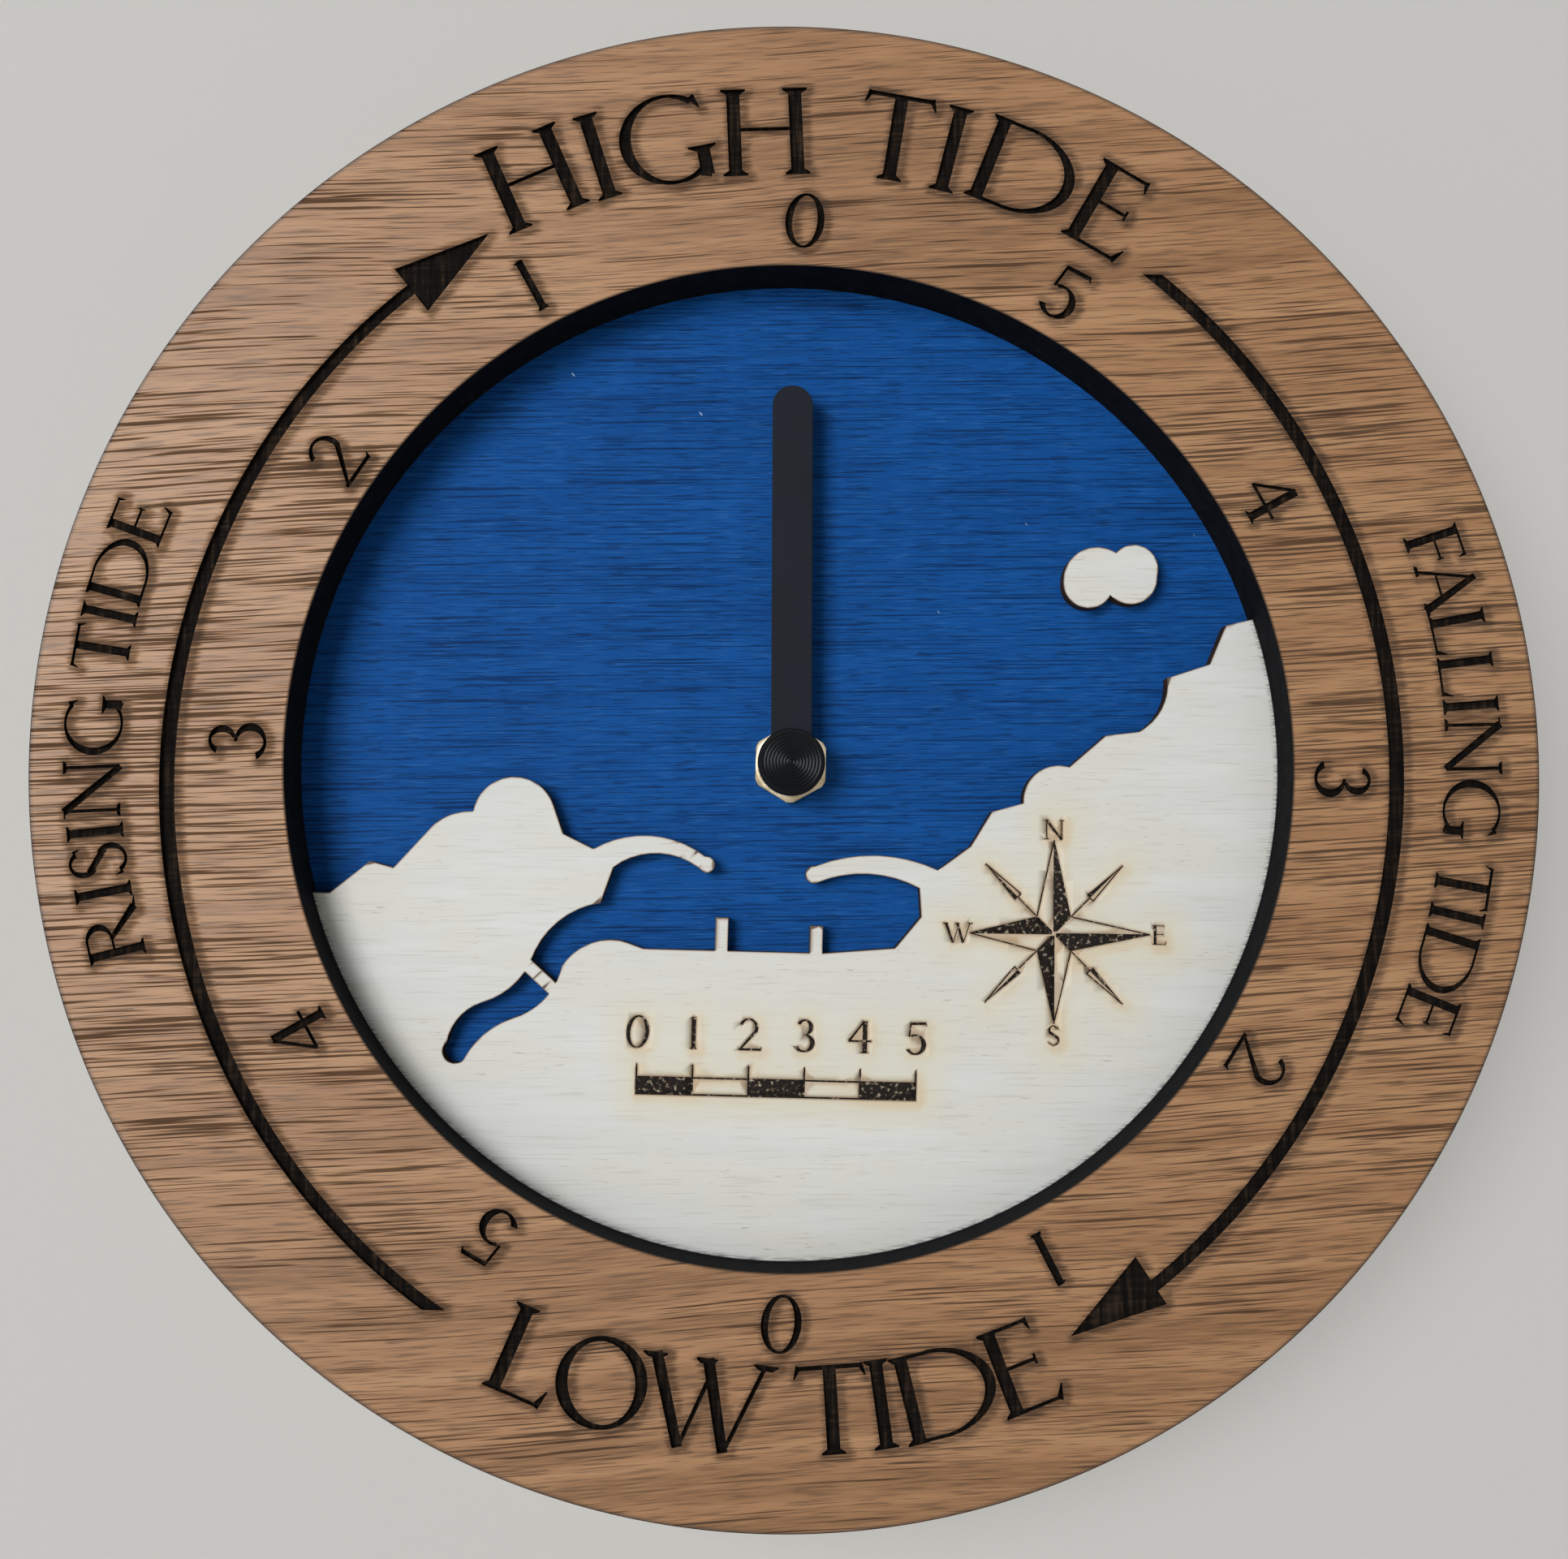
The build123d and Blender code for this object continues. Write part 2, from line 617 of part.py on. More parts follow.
def coil_bobbin():
    left, right = rotor_at[0] - COIL_LENGTH / 2, rotor_at[0] + COIL_LENGTH / 2
    middle = Pos(coil_y, core_level)
    bobbin = bar_along_x(middle * Circle(BOBBIN_DIAMETER / 2), left, right)
    for start in (left, right - COIL_FLANGE_THICKNESS):
        bobbin += bar_along_x(middle * Circle(COIL_FLANGE_DIAMETER / 2), start, start + COIL_FLANGE_THICKNESS)
    slot = middle * Rectangle(CORE_WIDTH + 2 * PRESS_FIT, CORE_THICKNESS + 2 * PRESS_FIT)
    return bobbin - bar_along_x(slot, left, right)


def coil_winding():
    left = rotor_at[0] - COIL_LENGTH / 2 + COIL_FLANGE_THICKNESS
    right = rotor_at[0] + COIL_LENGTH / 2 - COIL_FLANGE_THICKNESS
    face = Circle(COIL_WINDING_DIAMETER / 2) - Circle(BOBBIN_DIAMETER / 2 + PRESS_FIT)
    return bar_along_x(Pos(coil_y, core_level) * face, left, right)


def circuit_board():
    return block(circuit_left, circuit_right, circuit_bottom, circuit_top, circuit_back, circuit_front)


def chip():
    at = (circuit_left + CIRCUIT_WIDTH / 3, (circuit_bottom + circuit_top) / 2)
    blob = rod(CHIP_DIAMETER, circuit_back - CHIP_HEIGHT, circuit_back, at)
    return fillet(blob.edges().group_by(Axis.Z)[0], CHIP_HEIGHT / 2)


def quartz_crystal():
    right = circuit_right - WHEEL_CLEARANCE - SMALL_POST_DIAMETER
    level = circuit_back - CRYSTAL_DIAMETER / 2 - PRESS_FIT
    middle = Pos(circuit_top - WHEEL_CLEARANCE - CRYSTAL_DIAMETER / 2, level)
    return bar_along_x(middle * Circle(CRYSTAL_DIAMETER / 2), right - CRYSTAL_LENGTH, right)


# Cell
def battery():
    body_right = battery_right - BATTERY_NUB_LENGTH
    middle = Pos(battery_y, battery_z)
    cell = bar_along_x(middle * Circle(BATTERY_DIAMETER / 2), battery_left, body_right)
    return cell + bar_along_x(middle * Circle(BATTERY_NUB_DIAMETER / 2), body_right, battery_right)


def positive_contact():
    low = (contact_x, battery_y - CONTACT_HEIGHT / 2)
    high = (contact_x, battery_y + CONTACT_HEIGHT / 2)
    lap_y = circuit_bottom + CONTACT_LAP
    path = [low, (contact_x, lap_y), (circuit_right - CONTACT_LAP, lap_y)]
    contact = slab(bent_strip(path), strip_back, circuit_back)
    plate = bent_strip([low, high])
    return contact + slab(plate, battery_z - CONTACT_WIDTH / 2, battery_z + CONTACT_WIDTH / 2)


def negative_contact():
    touch = battery_left - LEAF_GAP - CONTACT_THICKNESS
    leaf = [(-contact_x, battery_y - CONTACT_HEIGHT / 2), (touch, battery_y)]
    leaf.append((-contact_x, battery_y + CONTACT_HEIGHT / 2))
    rail = [leaf[2], (-contact_x, rail_y), (rail_x, rail_y), (rail_x, circuit_bottom + CONTACT_LAP)]
    contact = slab(bent_strip(leaf), strip_back, battery_z + CONTACT_WIDTH / 2)
    return contact + slab(bent_strip(rail), strip_back, circuit_back)


# Case
def train_plate():
    left, right = -inner_half + NEST_GAP, inner_half - NEST_GAP
    plate = block(left, right, wall_top + NEST_GAP, inner_top - NEST_GAP, plate_back, plate_front)
    holes = [
        (2 * seconds_pinion_tip + 2 * TURN_GAP, centre_at),
        (MINUTE_ARBOR_DIAMETER + 2 * SHAFT_FIT, minute_at),
        (FIFTH_ARBOR_DIAMETER + 2 * SHAFT_FIT, fifth_at),
        (ROTOR_SHAFT_DIAMETER + 2 * SHAFT_FIT, rotor_at),
    ]
    for diameter, at in holes:
        plate -= rod(diameter, plate_back, plate_front, at)
    return plate + rod(THIRD_POST_DIAMETER, plate_front, centre_front, third_at)


def front_case():
    shell = Pos(0, case_middle) * RectangleRounded(case_width, case_height, CASE_CORNER)
    case = slab(shell, REAR_WALL, case_depth)
    case -= block(-inner_half, inner_half, bay_bottom, inner_top, REAR_WALL, plate_front)
    case -= block(-inner_half, inner_half, bay_bottom, wall_top + NEST_GAP, plate_front, front_inner)
    ledge = inner_half - LEDGE
    case -= block(-ledge, ledge, wall_top, inner_top - LEDGE, plate_front, front_inner)
    trough = Pos(battery_y, battery_z) * Circle(BATTERY_DIAMETER / 2 + BAY_CLEARANCE)
    case -= bar_along_x(trough, -inner_half, inner_half)
    case -= rod(BUSH_DIAMETER + 2 * PRESS_FIT, front_inner, case_depth)
    flange_front = front_inner + BUSH_FLANGE_THICKNESS
    case -= rod(BUSH_FLANGE_DIAMETER + 2 * PRESS_FIT, front_inner, flange_front)
    pivot = MINUTE_PIVOT_DIAMETER + 2 * SHAFT_FIT
    return case - rod(pivot, front_inner, front_inner + PIVOT_DEPTH + SHAFT_FIT, minute_at)


def hanger_tab():
    # A tab that stands above the case, thicker than the cover behind it
    width = HANGER_HOLE_DIAMETER + 2 * HANGER_RIM
    face = Pos(0, (case_top + hanger_y) / 2) * Rectangle(width, hanger_y - case_top)
    face += Pos(0, hanger_y) * Circle(width / 2)
    tab = slab(face, 0, HANGER_THICKNESS)
    return tab - block(-width, width, case_middle, case_top, 0, HANGER_THICKNESS)


def cover_posts():
    # Each post carries a piece: where it stands, its diameter and the level that it reaches
    edge = inner_half - NEST_GAP - LIP_THICKNESS - TURN_GAP - POST_DIAMETER / 2
    low = wall_top + CONTACT_THICKNESS + WHEEL_CLEARANCE + POST_DIAMETER / 2
    below_stator = rotor_at[1] - STATOR_ARM / 2 - TURN_GAP - POST_DIAMETER / 2
    below_circuit = circuit_bottom - TURN_GAP - POST_DIAMETER / 2
    corners = [(-edge, low), (edge, low), (-edge, below_stator), (edge, below_circuit)]
    posts = [(corner, POST_DIAMETER, plate_back) for corner in corners]
    arm_y = (rotor_at[1] + coil_y) / 2
    for side in (-1, 1):
        posts.append(((rotor_at[0] + side * arm_offset, arm_y), SMALL_POST_DIAMETER, stator_back))
    inset = SMALL_POST_DIAMETER / 2
    posts.append(((circuit_right - inset, circuit_top - inset), SMALL_POST_DIAMETER, circuit_back))
    posts.append(((circuit_left + inset, circuit_bottom + inset), SMALL_POST_DIAMETER, circuit_back))
    return posts


def cover_bosses():
    # Each boss has a blind hole for a pivot: where it stands, the pivot and the boss's top
    return [
        (centre_at, SECONDS_ARBOR_DIAMETER, seconds_back - TURN_GAP),
        (fifth_at, FIFTH_ARBOR_DIAMETER, seconds_back - TURN_GAP),
        (rotor_at, ROTOR_SHAFT_DIAMETER, magnet_back - TURN_GAP),
    ]


def cover_lip():
    # A low wall just inside the case, on the three sides above the cell's bay
    outer = inner_half - NEST_GAP
    inner = outer - LIP_THICKNESS
    top = inner_top - NEST_GAP
    front = REAR_WALL + LIP_HEIGHT
    lip = block(-outer, outer, wall_top, top, REAR_WALL, front)
    return lip - block(-inner, inner, wall_top, top - LIP_THICKNESS, REAR_WALL, front)


def rear_cover():
    cover = slab(Pos(0, case_middle) * RectangleRounded(case_width, case_height, CASE_CORNER), 0, REAR_WALL)
    cover += hanger_tab()
    cover -= rod(HANGER_HOLE_DIAMETER, 0, HANGER_THICKNESS, (0, hanger_y))
    cover -= block(-inner_half, inner_half, bay_bottom, bay_top, 0, REAR_WALL)
    wall_half = inner_half - NEST_GAP
    cover += block(-wall_half, wall_half, bay_top, wall_top, 0, front_inner - NEST_GAP)
    cover += cover_lip()
    for at, diameter, front in cover_posts():
        cover += rod(diameter, REAR_WALL, front, at)
    for at, pivot, front in cover_bosses():
        cover += rod(BOSS_DIAMETER, REAR_WALL, front, at)
        cover -= rod(pivot + 2 * SHAFT_FIT, front - PIVOT_DEPTH - SHAFT_FIT, front, at)
    cover += rod(2 * (well_radius + WELL_WALL), 0, well_floor_front, minute_at)
    cover -= rod(2 * well_radius, 0, well_floor_back, minute_at)
    cover -= rod(MINUTE_ARBOR_DIAMETER + 2 * SHAFT_FIT, well_floor_back, well_floor_front, minute_at)
    notch = CONTACT_THICKNESS / 2 + TURN_GAP
    for x in (-contact_x, contact_x):
        notch_front = circuit_back + TURN_GAP
        cover -= block(x - notch, x + notch, bay_top, wall_top, strip_back - TURN_GAP, notch_front)
    return cover


PIECES = [
    dial_ring, spacer_ring, land_layer, islet, sea_board,
    rubber_washer, threaded_bush, mounting_nut,
    tide_hand, hand_collar, hand_cap,
    tide_wheel, minute_pinion, minute_wheel, set_knob,
    centre_wheel, third_wheel, seconds_wheel, fifth_wheel, rotor_pinion, rotor_magnet,
    stator, coil_core, coil_bobbin, coil_winding, circuit_board, chip, quartz_crystal,
    battery, positive_contact, negative_contact,
    train_plate, front_case, rear_cover,
]

os.makedirs("parts", exist_ok=True)
stand = Rot(90, 0, 0)
for piece in PIECES:
    export_step(stand * piece(), f"parts/{piece.__name__}.step")
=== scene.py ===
from math import atan2, cos, pi, radians, sin, tan

import bmesh
import bpy
from mathutils import Matrix, Vector, kdtree


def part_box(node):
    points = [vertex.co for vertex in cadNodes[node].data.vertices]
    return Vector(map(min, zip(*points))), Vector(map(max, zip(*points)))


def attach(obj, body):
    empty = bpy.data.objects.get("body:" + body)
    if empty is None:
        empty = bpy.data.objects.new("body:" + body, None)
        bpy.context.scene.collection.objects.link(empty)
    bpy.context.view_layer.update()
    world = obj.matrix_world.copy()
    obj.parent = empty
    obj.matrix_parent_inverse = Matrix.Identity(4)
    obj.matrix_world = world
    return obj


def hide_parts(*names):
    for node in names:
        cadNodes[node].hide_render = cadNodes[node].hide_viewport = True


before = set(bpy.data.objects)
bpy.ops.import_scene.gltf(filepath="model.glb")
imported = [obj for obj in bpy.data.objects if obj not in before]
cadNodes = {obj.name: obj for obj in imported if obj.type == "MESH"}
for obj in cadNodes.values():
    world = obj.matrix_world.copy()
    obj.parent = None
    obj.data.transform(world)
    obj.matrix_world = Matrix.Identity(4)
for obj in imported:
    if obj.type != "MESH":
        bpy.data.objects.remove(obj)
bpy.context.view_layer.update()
scene = bpy.context.scene
scene.view_settings.view_transform = "Standard"
mm = 0.001
print("frame loaded:", len(cadNodes), "nodes")


# Materials

def linearColour(code):  # sRGB hex to the linear values that sockets take
    parts = [int(code[i:i + 2], 16) / 255 for i in (1, 3, 5)]
    return [c / 12.92 if c <= 0.04045 else ((c + 0.055) / 1.055) ** 2.4 for c in parts] + [1.0]


def addNode(tree, kind, settings):  # a value that is a node, or a node and its output's name, becomes a link
    node = tree.nodes.new("ShaderNode" + kind)
    for key, value in settings.items():
        linked = isinstance(value, tuple) and isinstance(value[0], bpy.types.Node)
        giver, plug = value if linked else (value, None)
        if isinstance(giver, bpy.types.Node):
            outlet = giver.outputs[plug] if plug else next(out for out in giver.outputs if out.enabled)
            tree.links.new(outlet, node.inputs[key])
        elif key == "stops":  # a ramp's places and colours
            ends = node.color_ramp.elements
            ends[0].position, ends[0].color = value[0][0], linearColour(value[0][1])
            ends[1].position, ends[1].color = value[-1][0], linearColour(value[-1][1])
            for position, code in value[1:-1]:
                ends.new(position).color = linearColour(code)
        elif isinstance(key, int) or key in node.inputs:
            node.inputs[key].default_value = linearColour(value) if isinstance(value, str) else value
        else:
            setattr(node, key, value)
    return node


def startMaterial(name):
    material = bpy.data.materials.new(name)
    material.use_nodes = True
    tree = material.node_tree
    tree.nodes.clear()
    return material, tree, (addNode(tree, "TexCoord", {}), "Object")


def closeMaterial(material, settings):
    tree = material.node_tree
    shader = addNode(tree, "BsdfPrincipled", settings)
    addNode(tree, "OutputMaterial", {"Surface": shader})
    return material


eased = {"interpolation_type": "SMOOTHSTEP"}
blended = {"data_type": "RGBA"}
oneWave = 0.314  # a wave texture's scale that repeats once per unit


# a colour laid over another where a signal goes from start to full, and the mask that was used
def layOver(tree, below, above, signal, start, full, share=1.0):
    mask = addNode(tree, "MapRange", {**eased, 0: signal, 1: start, 2: full, 4: share})
    return addNode(tree, "Mix", {**blended, 0: mask, 6: below, 7: above}), mask


# streaks of so many mm along and across the grain, rising to the right by degrees
def grain(tree, place, along, across, rise, detail, shift):
    laid = addNode(tree, "Mapping", {
        "vector_type": "TEXTURE", "Location": (shift, 0, shift), "Rotation": (0, radians(-rise), 0),
        "Scale": (along * mm, 1, across * mm), "Vector": place})
    return addNode(tree, "TexNoise", {"Scale": 1.0, "Detail": detail, "Roughness": 0.6, "Vector": laid})


def dialRadius(tree, place):  # distance from the hand's axis, in mm
    flat = addNode(tree, "VectorMath", {"operation": "MULTIPLY", 0: place, 1: (1000, 0, 1000)})
    return addNode(tree, "VectorMath", {"operation": "LENGTH", 0: flat})


veneer = {
    "pale": "#a47b55", "middle": "#966c47", "deep": "#825b37", "streak": "#331e0c", "fine": "#56391d",
    "paleFibreGlint": "#b08861", "soot": "#24150a", "bleed": "#100d0b", "rim": "#24160d", "rise": 5.2, "sway": 3.5}


# sliced sapele, oiled: thin dark pore lines, most of them half way up, pale fibres lightened as painted glints, a
# ground painted darker towards the top and the bottom as painted shade, a soft sheen, and soot fuzz by the cuts
def sapeleVeneer():
    material, tree, place = startMaterial("sapeleVeneer")
    rise = veneer["rise"]
    drift = addNode(tree, "TexNoise", {"Vector": place, "Scale": 1 / (75 * mm), "Detail": 0.0})
    swayed = addNode(tree, "VectorMath", {
        "operation": "MULTIPLY_ADD", 0: (drift, "Color"), 1: (0, 0, veneer["sway"] * mm), 2: place})
    bands = grain(tree, swayed, 110, 5, rise, 3.0, 0.3)
    zones = grain(tree, swayed, 52, 8, rise, 2.0, 9.3)
    streaks = grain(tree, swayed, 28, 0.44, rise, 1.0, 1.7)
    fine = grain(tree, swayed, 9, 0.32, rise, 1.0, 4.1)
    spot = addNode(tree, "SeparateXYZ", {0: place})
    height = addNode(tree, "Math", {"operation": "ABSOLUTE", 0: (spot, "Z")})
    calmGrainAndShade = addNode(tree, "MapRange", {  # more lines across the middle and fewer towards the top and the bottom; the ground is painted lighter across the middle and darker towards the top and the bottom, as painted light and shade
        **eased, 0: height, 1: 45 * mm, 2: 100 * mm, 3: 0.03, 4: -0.042})
    shaded = addNode(tree, "Math", {"operation": "MULTIPLY_ADD", 0: calmGrainAndShade, 1: 1.5, 2: bands})
    wood = addNode(tree, "ValToRGB", {0: shaded, "stops": [
        (0.36, veneer["deep"]), (0.48, veneer["middle"]), (0.62, veneer["pale"])]})
    # pale fibres between the pores, lightened further as a painted glint
    glintedFibres, _ = layOver(tree, wood, veneer["paleFibreGlint"], fine, 0.46, 0.32, 0.30)
    pored, _ = layOver(tree, glintedFibres, veneer["fine"], fine, 0.53, 0.63, 0.66)
    dense = addNode(tree, "Math", {"operation": "MULTIPLY_ADD", 0: zones, 1: 0.40, 2: calmGrainAndShade})
    crowded = addNode(tree, "Math", {"operation": "ADD", 0: dense, 1: streaks})
    streaked, lines = layOver(tree, pored, veneer["streak"], crowded, 0.755, 0.835, 0.80)
    smear = addNode(tree, "Attribute", {"attribute_name": "sootDistance"})
    near = addNode(tree, "MapRange", {**eased, 0: (smear, "Fac"), 1: 2.3, 2: 0.0})
    fibres = grain(tree, swayed, 5, 0.34, rise, 1.0, 6.6)
    hairs = addNode(tree, "MapRange", {0: fibres, 1: 0.34, 2: 0.66, 4: 0.6})
    reach = addNode(tree, "Math", {"operation": "ADD", 0: near, 1: hairs})
    sooty, haze = layOver(tree, streaked, veneer["soot"], reach, 0.50, 1.55, 0.76)
    radius = dialRadius(tree, place)
    bled, seep = layOver(tree, sooty, veneer["bleed"], radius, 84.0, 83.5, 0.85)
    singed, _ = layOver(tree, bled, veneer["rim"], radius, 124.0, 125.0, 0.85)
    bump = addNode(tree, "Bump", {"Strength": 0.25, "Distance": -0.12 * mm, "Height": lines})
    dark = addNode(tree, "Math", {"operation": "MAXIMUM", 0: lines, 1: haze})
    dull = addNode(tree, "Math", {"operation": "MAXIMUM", 0: dark, 1: seep})
    rough = addNode(tree, "MapRange", {0: dull, 1: 0.0, 2: 0.7, 3: 0.50, 4: 0.97})
    return closeMaterial(material, {
        "Specular IOR Level": 0.62, "Base Color": singed, "Roughness": rough, "Normal": bump})


# engraved floor: burnt wood with uneven upright ridges left by the raster, brown where the soot was brushed
# off
def laserChar():
    material, tree, place = startMaterial("laserChar")
    ridges = grain(tree, place, 0.9, 11, 2.0, 2.0, 3.8)
    burnt = grain(tree, place, 9, 0.7, 5.2, 3.0, 2.2)
    tone = addNode(tree, "Mix", {"data_type": "FLOAT", 0: 0.62, 2: burnt, 3: ridges})
    colour = addNode(tree, "ValToRGB", {
        0: tone, "stops": [(0.40, "#090706"), (0.52, "#14100d"), (0.66, "#35291f")]})
    bump = addNode(tree, "Bump", {"Strength": 0.5, "Distance": 0.12 * mm, "Height": tone})
    return closeMaterial(material, {
        "Roughness": 0.95, "Specular IOR Level": 0.10, "Base Color": colour, "Normal": bump})


def laserCutEdge():  # cut plywood edge: brown char, with the glue lines of 1 mm plies along it
    material, tree, place = startMaterial("laserCutEdge")
    laid = addNode(tree, "Mapping", {"vector_type": "TEXTURE", "Scale": (1, 1.0 * mm, 1), "Vector": place})
    plies = addNode(tree, "TexWave", {
        "bands_direction": "Y", "Scale": oneWave, "Distortion": 0.6, "Vector": laid})
    scorch = addNode(tree, "TexNoise", {"Vector": place, "Scale": 1 / (3.5 * mm), "Detail": 4.0})
    tone = addNode(tree, "Mix", {"data_type": "FLOAT", 0: 0.3, 2: scorch, 3: plies})
    colour = addNode(tree, "ValToRGB", {
        0: tone, "stops": [(0.3, "#120c08"), (0.55, "#281a11"), (0.8, "#503623")]})
    bump = addNode(tree, "Bump", {"Strength": 0.4, "Distance": 0.1 * mm, "Height": tone})
    return closeMaterial(material, {
        "Roughness": 0.85, "Specular IOR Level": 0.2, "Base Color": colour, "Normal": bump})


def blackPaintedPly():  # brushed black paint over a cut edge: near black and dull, with a little dust
    material, tree, place = startMaterial("blackPaintedPly")
    brush = addNode(tree, "TexNoise", {"Vector": place, "Scale": 1 / (2.4 * mm), "Detail": 4.0})
    dust = addNode(tree, "TexVoronoi", {"Vector": place, "Scale": 1 / (3.4 * mm)})
    paint = addNode(tree, "ValToRGB", {0: brush, "stops": [(0.35, "#0b0c0e"), (0.65, "#131417")]})
    colour, _ = layOver(tree, paint, "#66696c", dust, 0.055, 0.025, 0.5)
    bump = addNode(tree, "Bump", {"Strength": 0.3, "Distance": 0.1 * mm, "Height": brush})
    return closeMaterial(material, {
        "Roughness": 0.8, "Specular IOR Level": 0.06, "Base Color": colour, "Normal": bump})


# birch ply with a blue wash: long thin dark grain lines, short pores, pale streaks along the grain as a painted
# sheen, and a little lint
def blueStainedPly():
    material, tree, place = startMaterial("blueStainedPly")
    rise = 2.4
    broad = grain(tree, place, 45, 5, rise, 3.0, 0.7)
    lines = grain(tree, place, 30, 0.34, rise, 1.0, 5.9)
    pores = grain(tree, place, 6.0, 0.28, rise, 1.0, 3.3)
    sheenStreaks = grain(tree, place, 6.0, 0.34, rise, 2.0, 8.8)
    wash = addNode(tree, "ValToRGB", {0: broad, "stops": [(0.32, "#0a4486"), (0.68, "#0f4e95")]})
    # pale streaks along the grain: a painted sheen
    sheenStreaked, _ = layOver(tree, wash, "#2862a6", sheenStreaks, 0.52, 0.68, 0.50)
    pored, _ = layOver(tree, sheenStreaked, "#05244b", pores, 0.57, 0.63, 0.55)
    lined, long = layOver(tree, pored, "#041c41", lines, 0.57, 0.62, 0.64)
    strewn = addNode(tree, "Mapping", {
        "vector_type": "TEXTURE", "Rotation": (0, radians(50), 0), "Scale": (14 * mm, 1, 5 * mm),
        "Vector": place})
    lint = addNode(tree, "TexVoronoi", {"Vector": strewn, "Scale": 1.0})
    some = addNode(tree, "SeparateColor", {0: (lint, "Color")})
    chosen = addNode(tree, "MapRange", {0: some, 1: 0.45, 2: 0.47, 4: 0.6})
    dots = addNode(tree, "MapRange", {**eased, 0: lint, 1: 0.040, 2: 0.018})
    specks = addNode(tree, "Math", {"operation": "MULTIPLY", 0: dots, 1: chosen})
    colour = addNode(tree, "Mix", {**blended, 0: specks, 6: lined, 7: "#a9c0dc"})
    bump = addNode(tree, "Bump", {"Strength": 0.3, "Distance": -0.1 * mm, "Height": long})
    return closeMaterial(material, {
        "Roughness": 0.66, "Specular IOR Level": 0.08, "Base Color": colour, "Normal": bump})


def rawPly():  # unpainted back of the board: pale tan birch with long quiet grain
    material, tree, place = startMaterial("rawPly")
    broad = grain(tree, place, 130, 7, 1.2, 3.0, 2.9)
    lines = grain(tree, place, 12, 0.5, 1.2, 2.0, 5.5)
    wood = addNode(tree, "ValToRGB", {
        0: broad, "stops": [(0.32, "#c0a177"), (0.52, "#ccb089"), (0.68, "#d6be99")]})
    colour, _ = layOver(tree, wood, "#9c7b54", lines, 0.55, 0.66, 0.6)
    bump = addNode(tree, "Bump", {"Strength": 0.25, "Distance": 0.1 * mm, "Height": lines})
    return closeMaterial(material, {
        "Roughness": 0.7, "Specular IOR Level": 0.3, "Base Color": colour, "Normal": bump})


land = {
    "white": "#d6d8d6", "shade": "#ced0cd", "cream": "#d2d1c9", "fleck": "#968f82", "thread": "#bebbb3",
    "glow": "#c8a671", "stain": "#d6cfb6", "brown": "#93673b", "burn": "#3a2718", "fringe": "#54565a",
    "black": "#0b0c0e"}


# birch ply under thin white paint: creamy patches, grey-brown flecks, amber scorch by the etching
def whitewashedPly():
    material, tree, place = startMaterial("whitewashedPly")
    broad = grain(tree, place, 60, 3.0, 1.5, 3.0, 1.1)
    flecks = grain(tree, place, 3.4, 0.30, 1.5, 1.5, 7.7)
    threads = grain(tree, place, 11, 0.36, 1.5, 1.0, 5.2)
    patch = grain(tree, place, 24, 12, 1.5, 2.0, 3.1)
    paint = addNode(tree, "ValToRGB", {0: broad, "stops": [(0.34, land["shade"]), (0.66, land["white"])]})
    creamy, thin = layOver(tree, paint, land["cream"], patch, 0.38, 0.64, 0.7)
    threaded, _ = layOver(tree, creamy, land["thread"], threads, 0.56, 0.70, 0.5)
    dots = addNode(tree, "MapRange", {**eased, 0: flecks, 1: 0.64, 2: 0.73})
    spots = addNode(tree, "Math", {"operation": "MULTIPLY", 0: dots, 1: thin})
    flecked = addNode(tree, "Mix", {**blended, 0: spots, 6: threaded, 7: land["fleck"]})
    coast = addNode(tree, "Attribute", {"attribute_name": "coastDistance"})
    mark = addNode(tree, "Attribute", {"attribute_name": "markDistance"})
    smear = addNode(tree, "Attribute", {"attribute_name": "sootDistance"})
    stained, _ = layOver(tree, flecked, land["stain"], (smear, "Fac"), 7.0, 0.5, 0.52)
    close = addNode(tree, "MapRange", {**eased, 0: (smear, "Fac"), 1: 1.9, 2: 0.0, 4: 0.42})
    uneven = addNode(tree, "MapRange", {**eased, 0: patch, 1: 0.34, 2: 0.58, 3: 0.3})
    warm = addNode(tree, "Math", {"operation": "MULTIPLY", 0: close, 1: uneven})
    warmed = addNode(tree, "Mix", {**blended, 0: warm, 6: stained, 7: land["glow"]})
    near = addNode(tree, "Math", {"operation": "MINIMUM", 0: (coast, "Fac"), 1: (mark, "Fac")})
    browned, _ = layOver(tree, warmed, land["brown"], near, 0.40, 0.05, 0.45)
    burnt, _ = layOver(tree, browned, land["burn"], (coast, "Fac"), 0.16, 0.04, 0.85)
    fibres = grain(tree, place, 3.0, 0.26, 1.5, 1.0, 6.4)
    hairs = addNode(tree, "MapRange", {**eased, 0: fibres, 1: 0.36, 2: 0.66})
    radius = dialRadius(tree, place)
    rim = addNode(tree, "MapRange", {**eased, 0: radius, 1: 82.3, 2: 83.7})
    wicked = addNode(tree, "Math", {"operation": "MULTIPLY", 0: hairs, 1: rim})
    fringed = addNode(tree, "Mix", {**blended, 0: wicked, 6: burnt, 7: land["fringe"]})
    # a black band about 0.15 mm wide on the land just inside the opening, at the foot of the black wall
    under = addNode(tree, "MapRange", {0: radius, 1: 83.25, 2: 83.4})
    wallFootBanded = addNode(tree, "Mix", {**blended, 0: under, 6: fringed, 7: land["black"]})
    bump = addNode(tree, "Bump", {"Strength": 0.2, "Distance": 0.08 * mm, "Height": threads})
    return closeMaterial(material, {
        "Roughness": 0.62, "Specular IOR Level": 0.3, "Base Color": wallFootBanded, "Normal": bump})


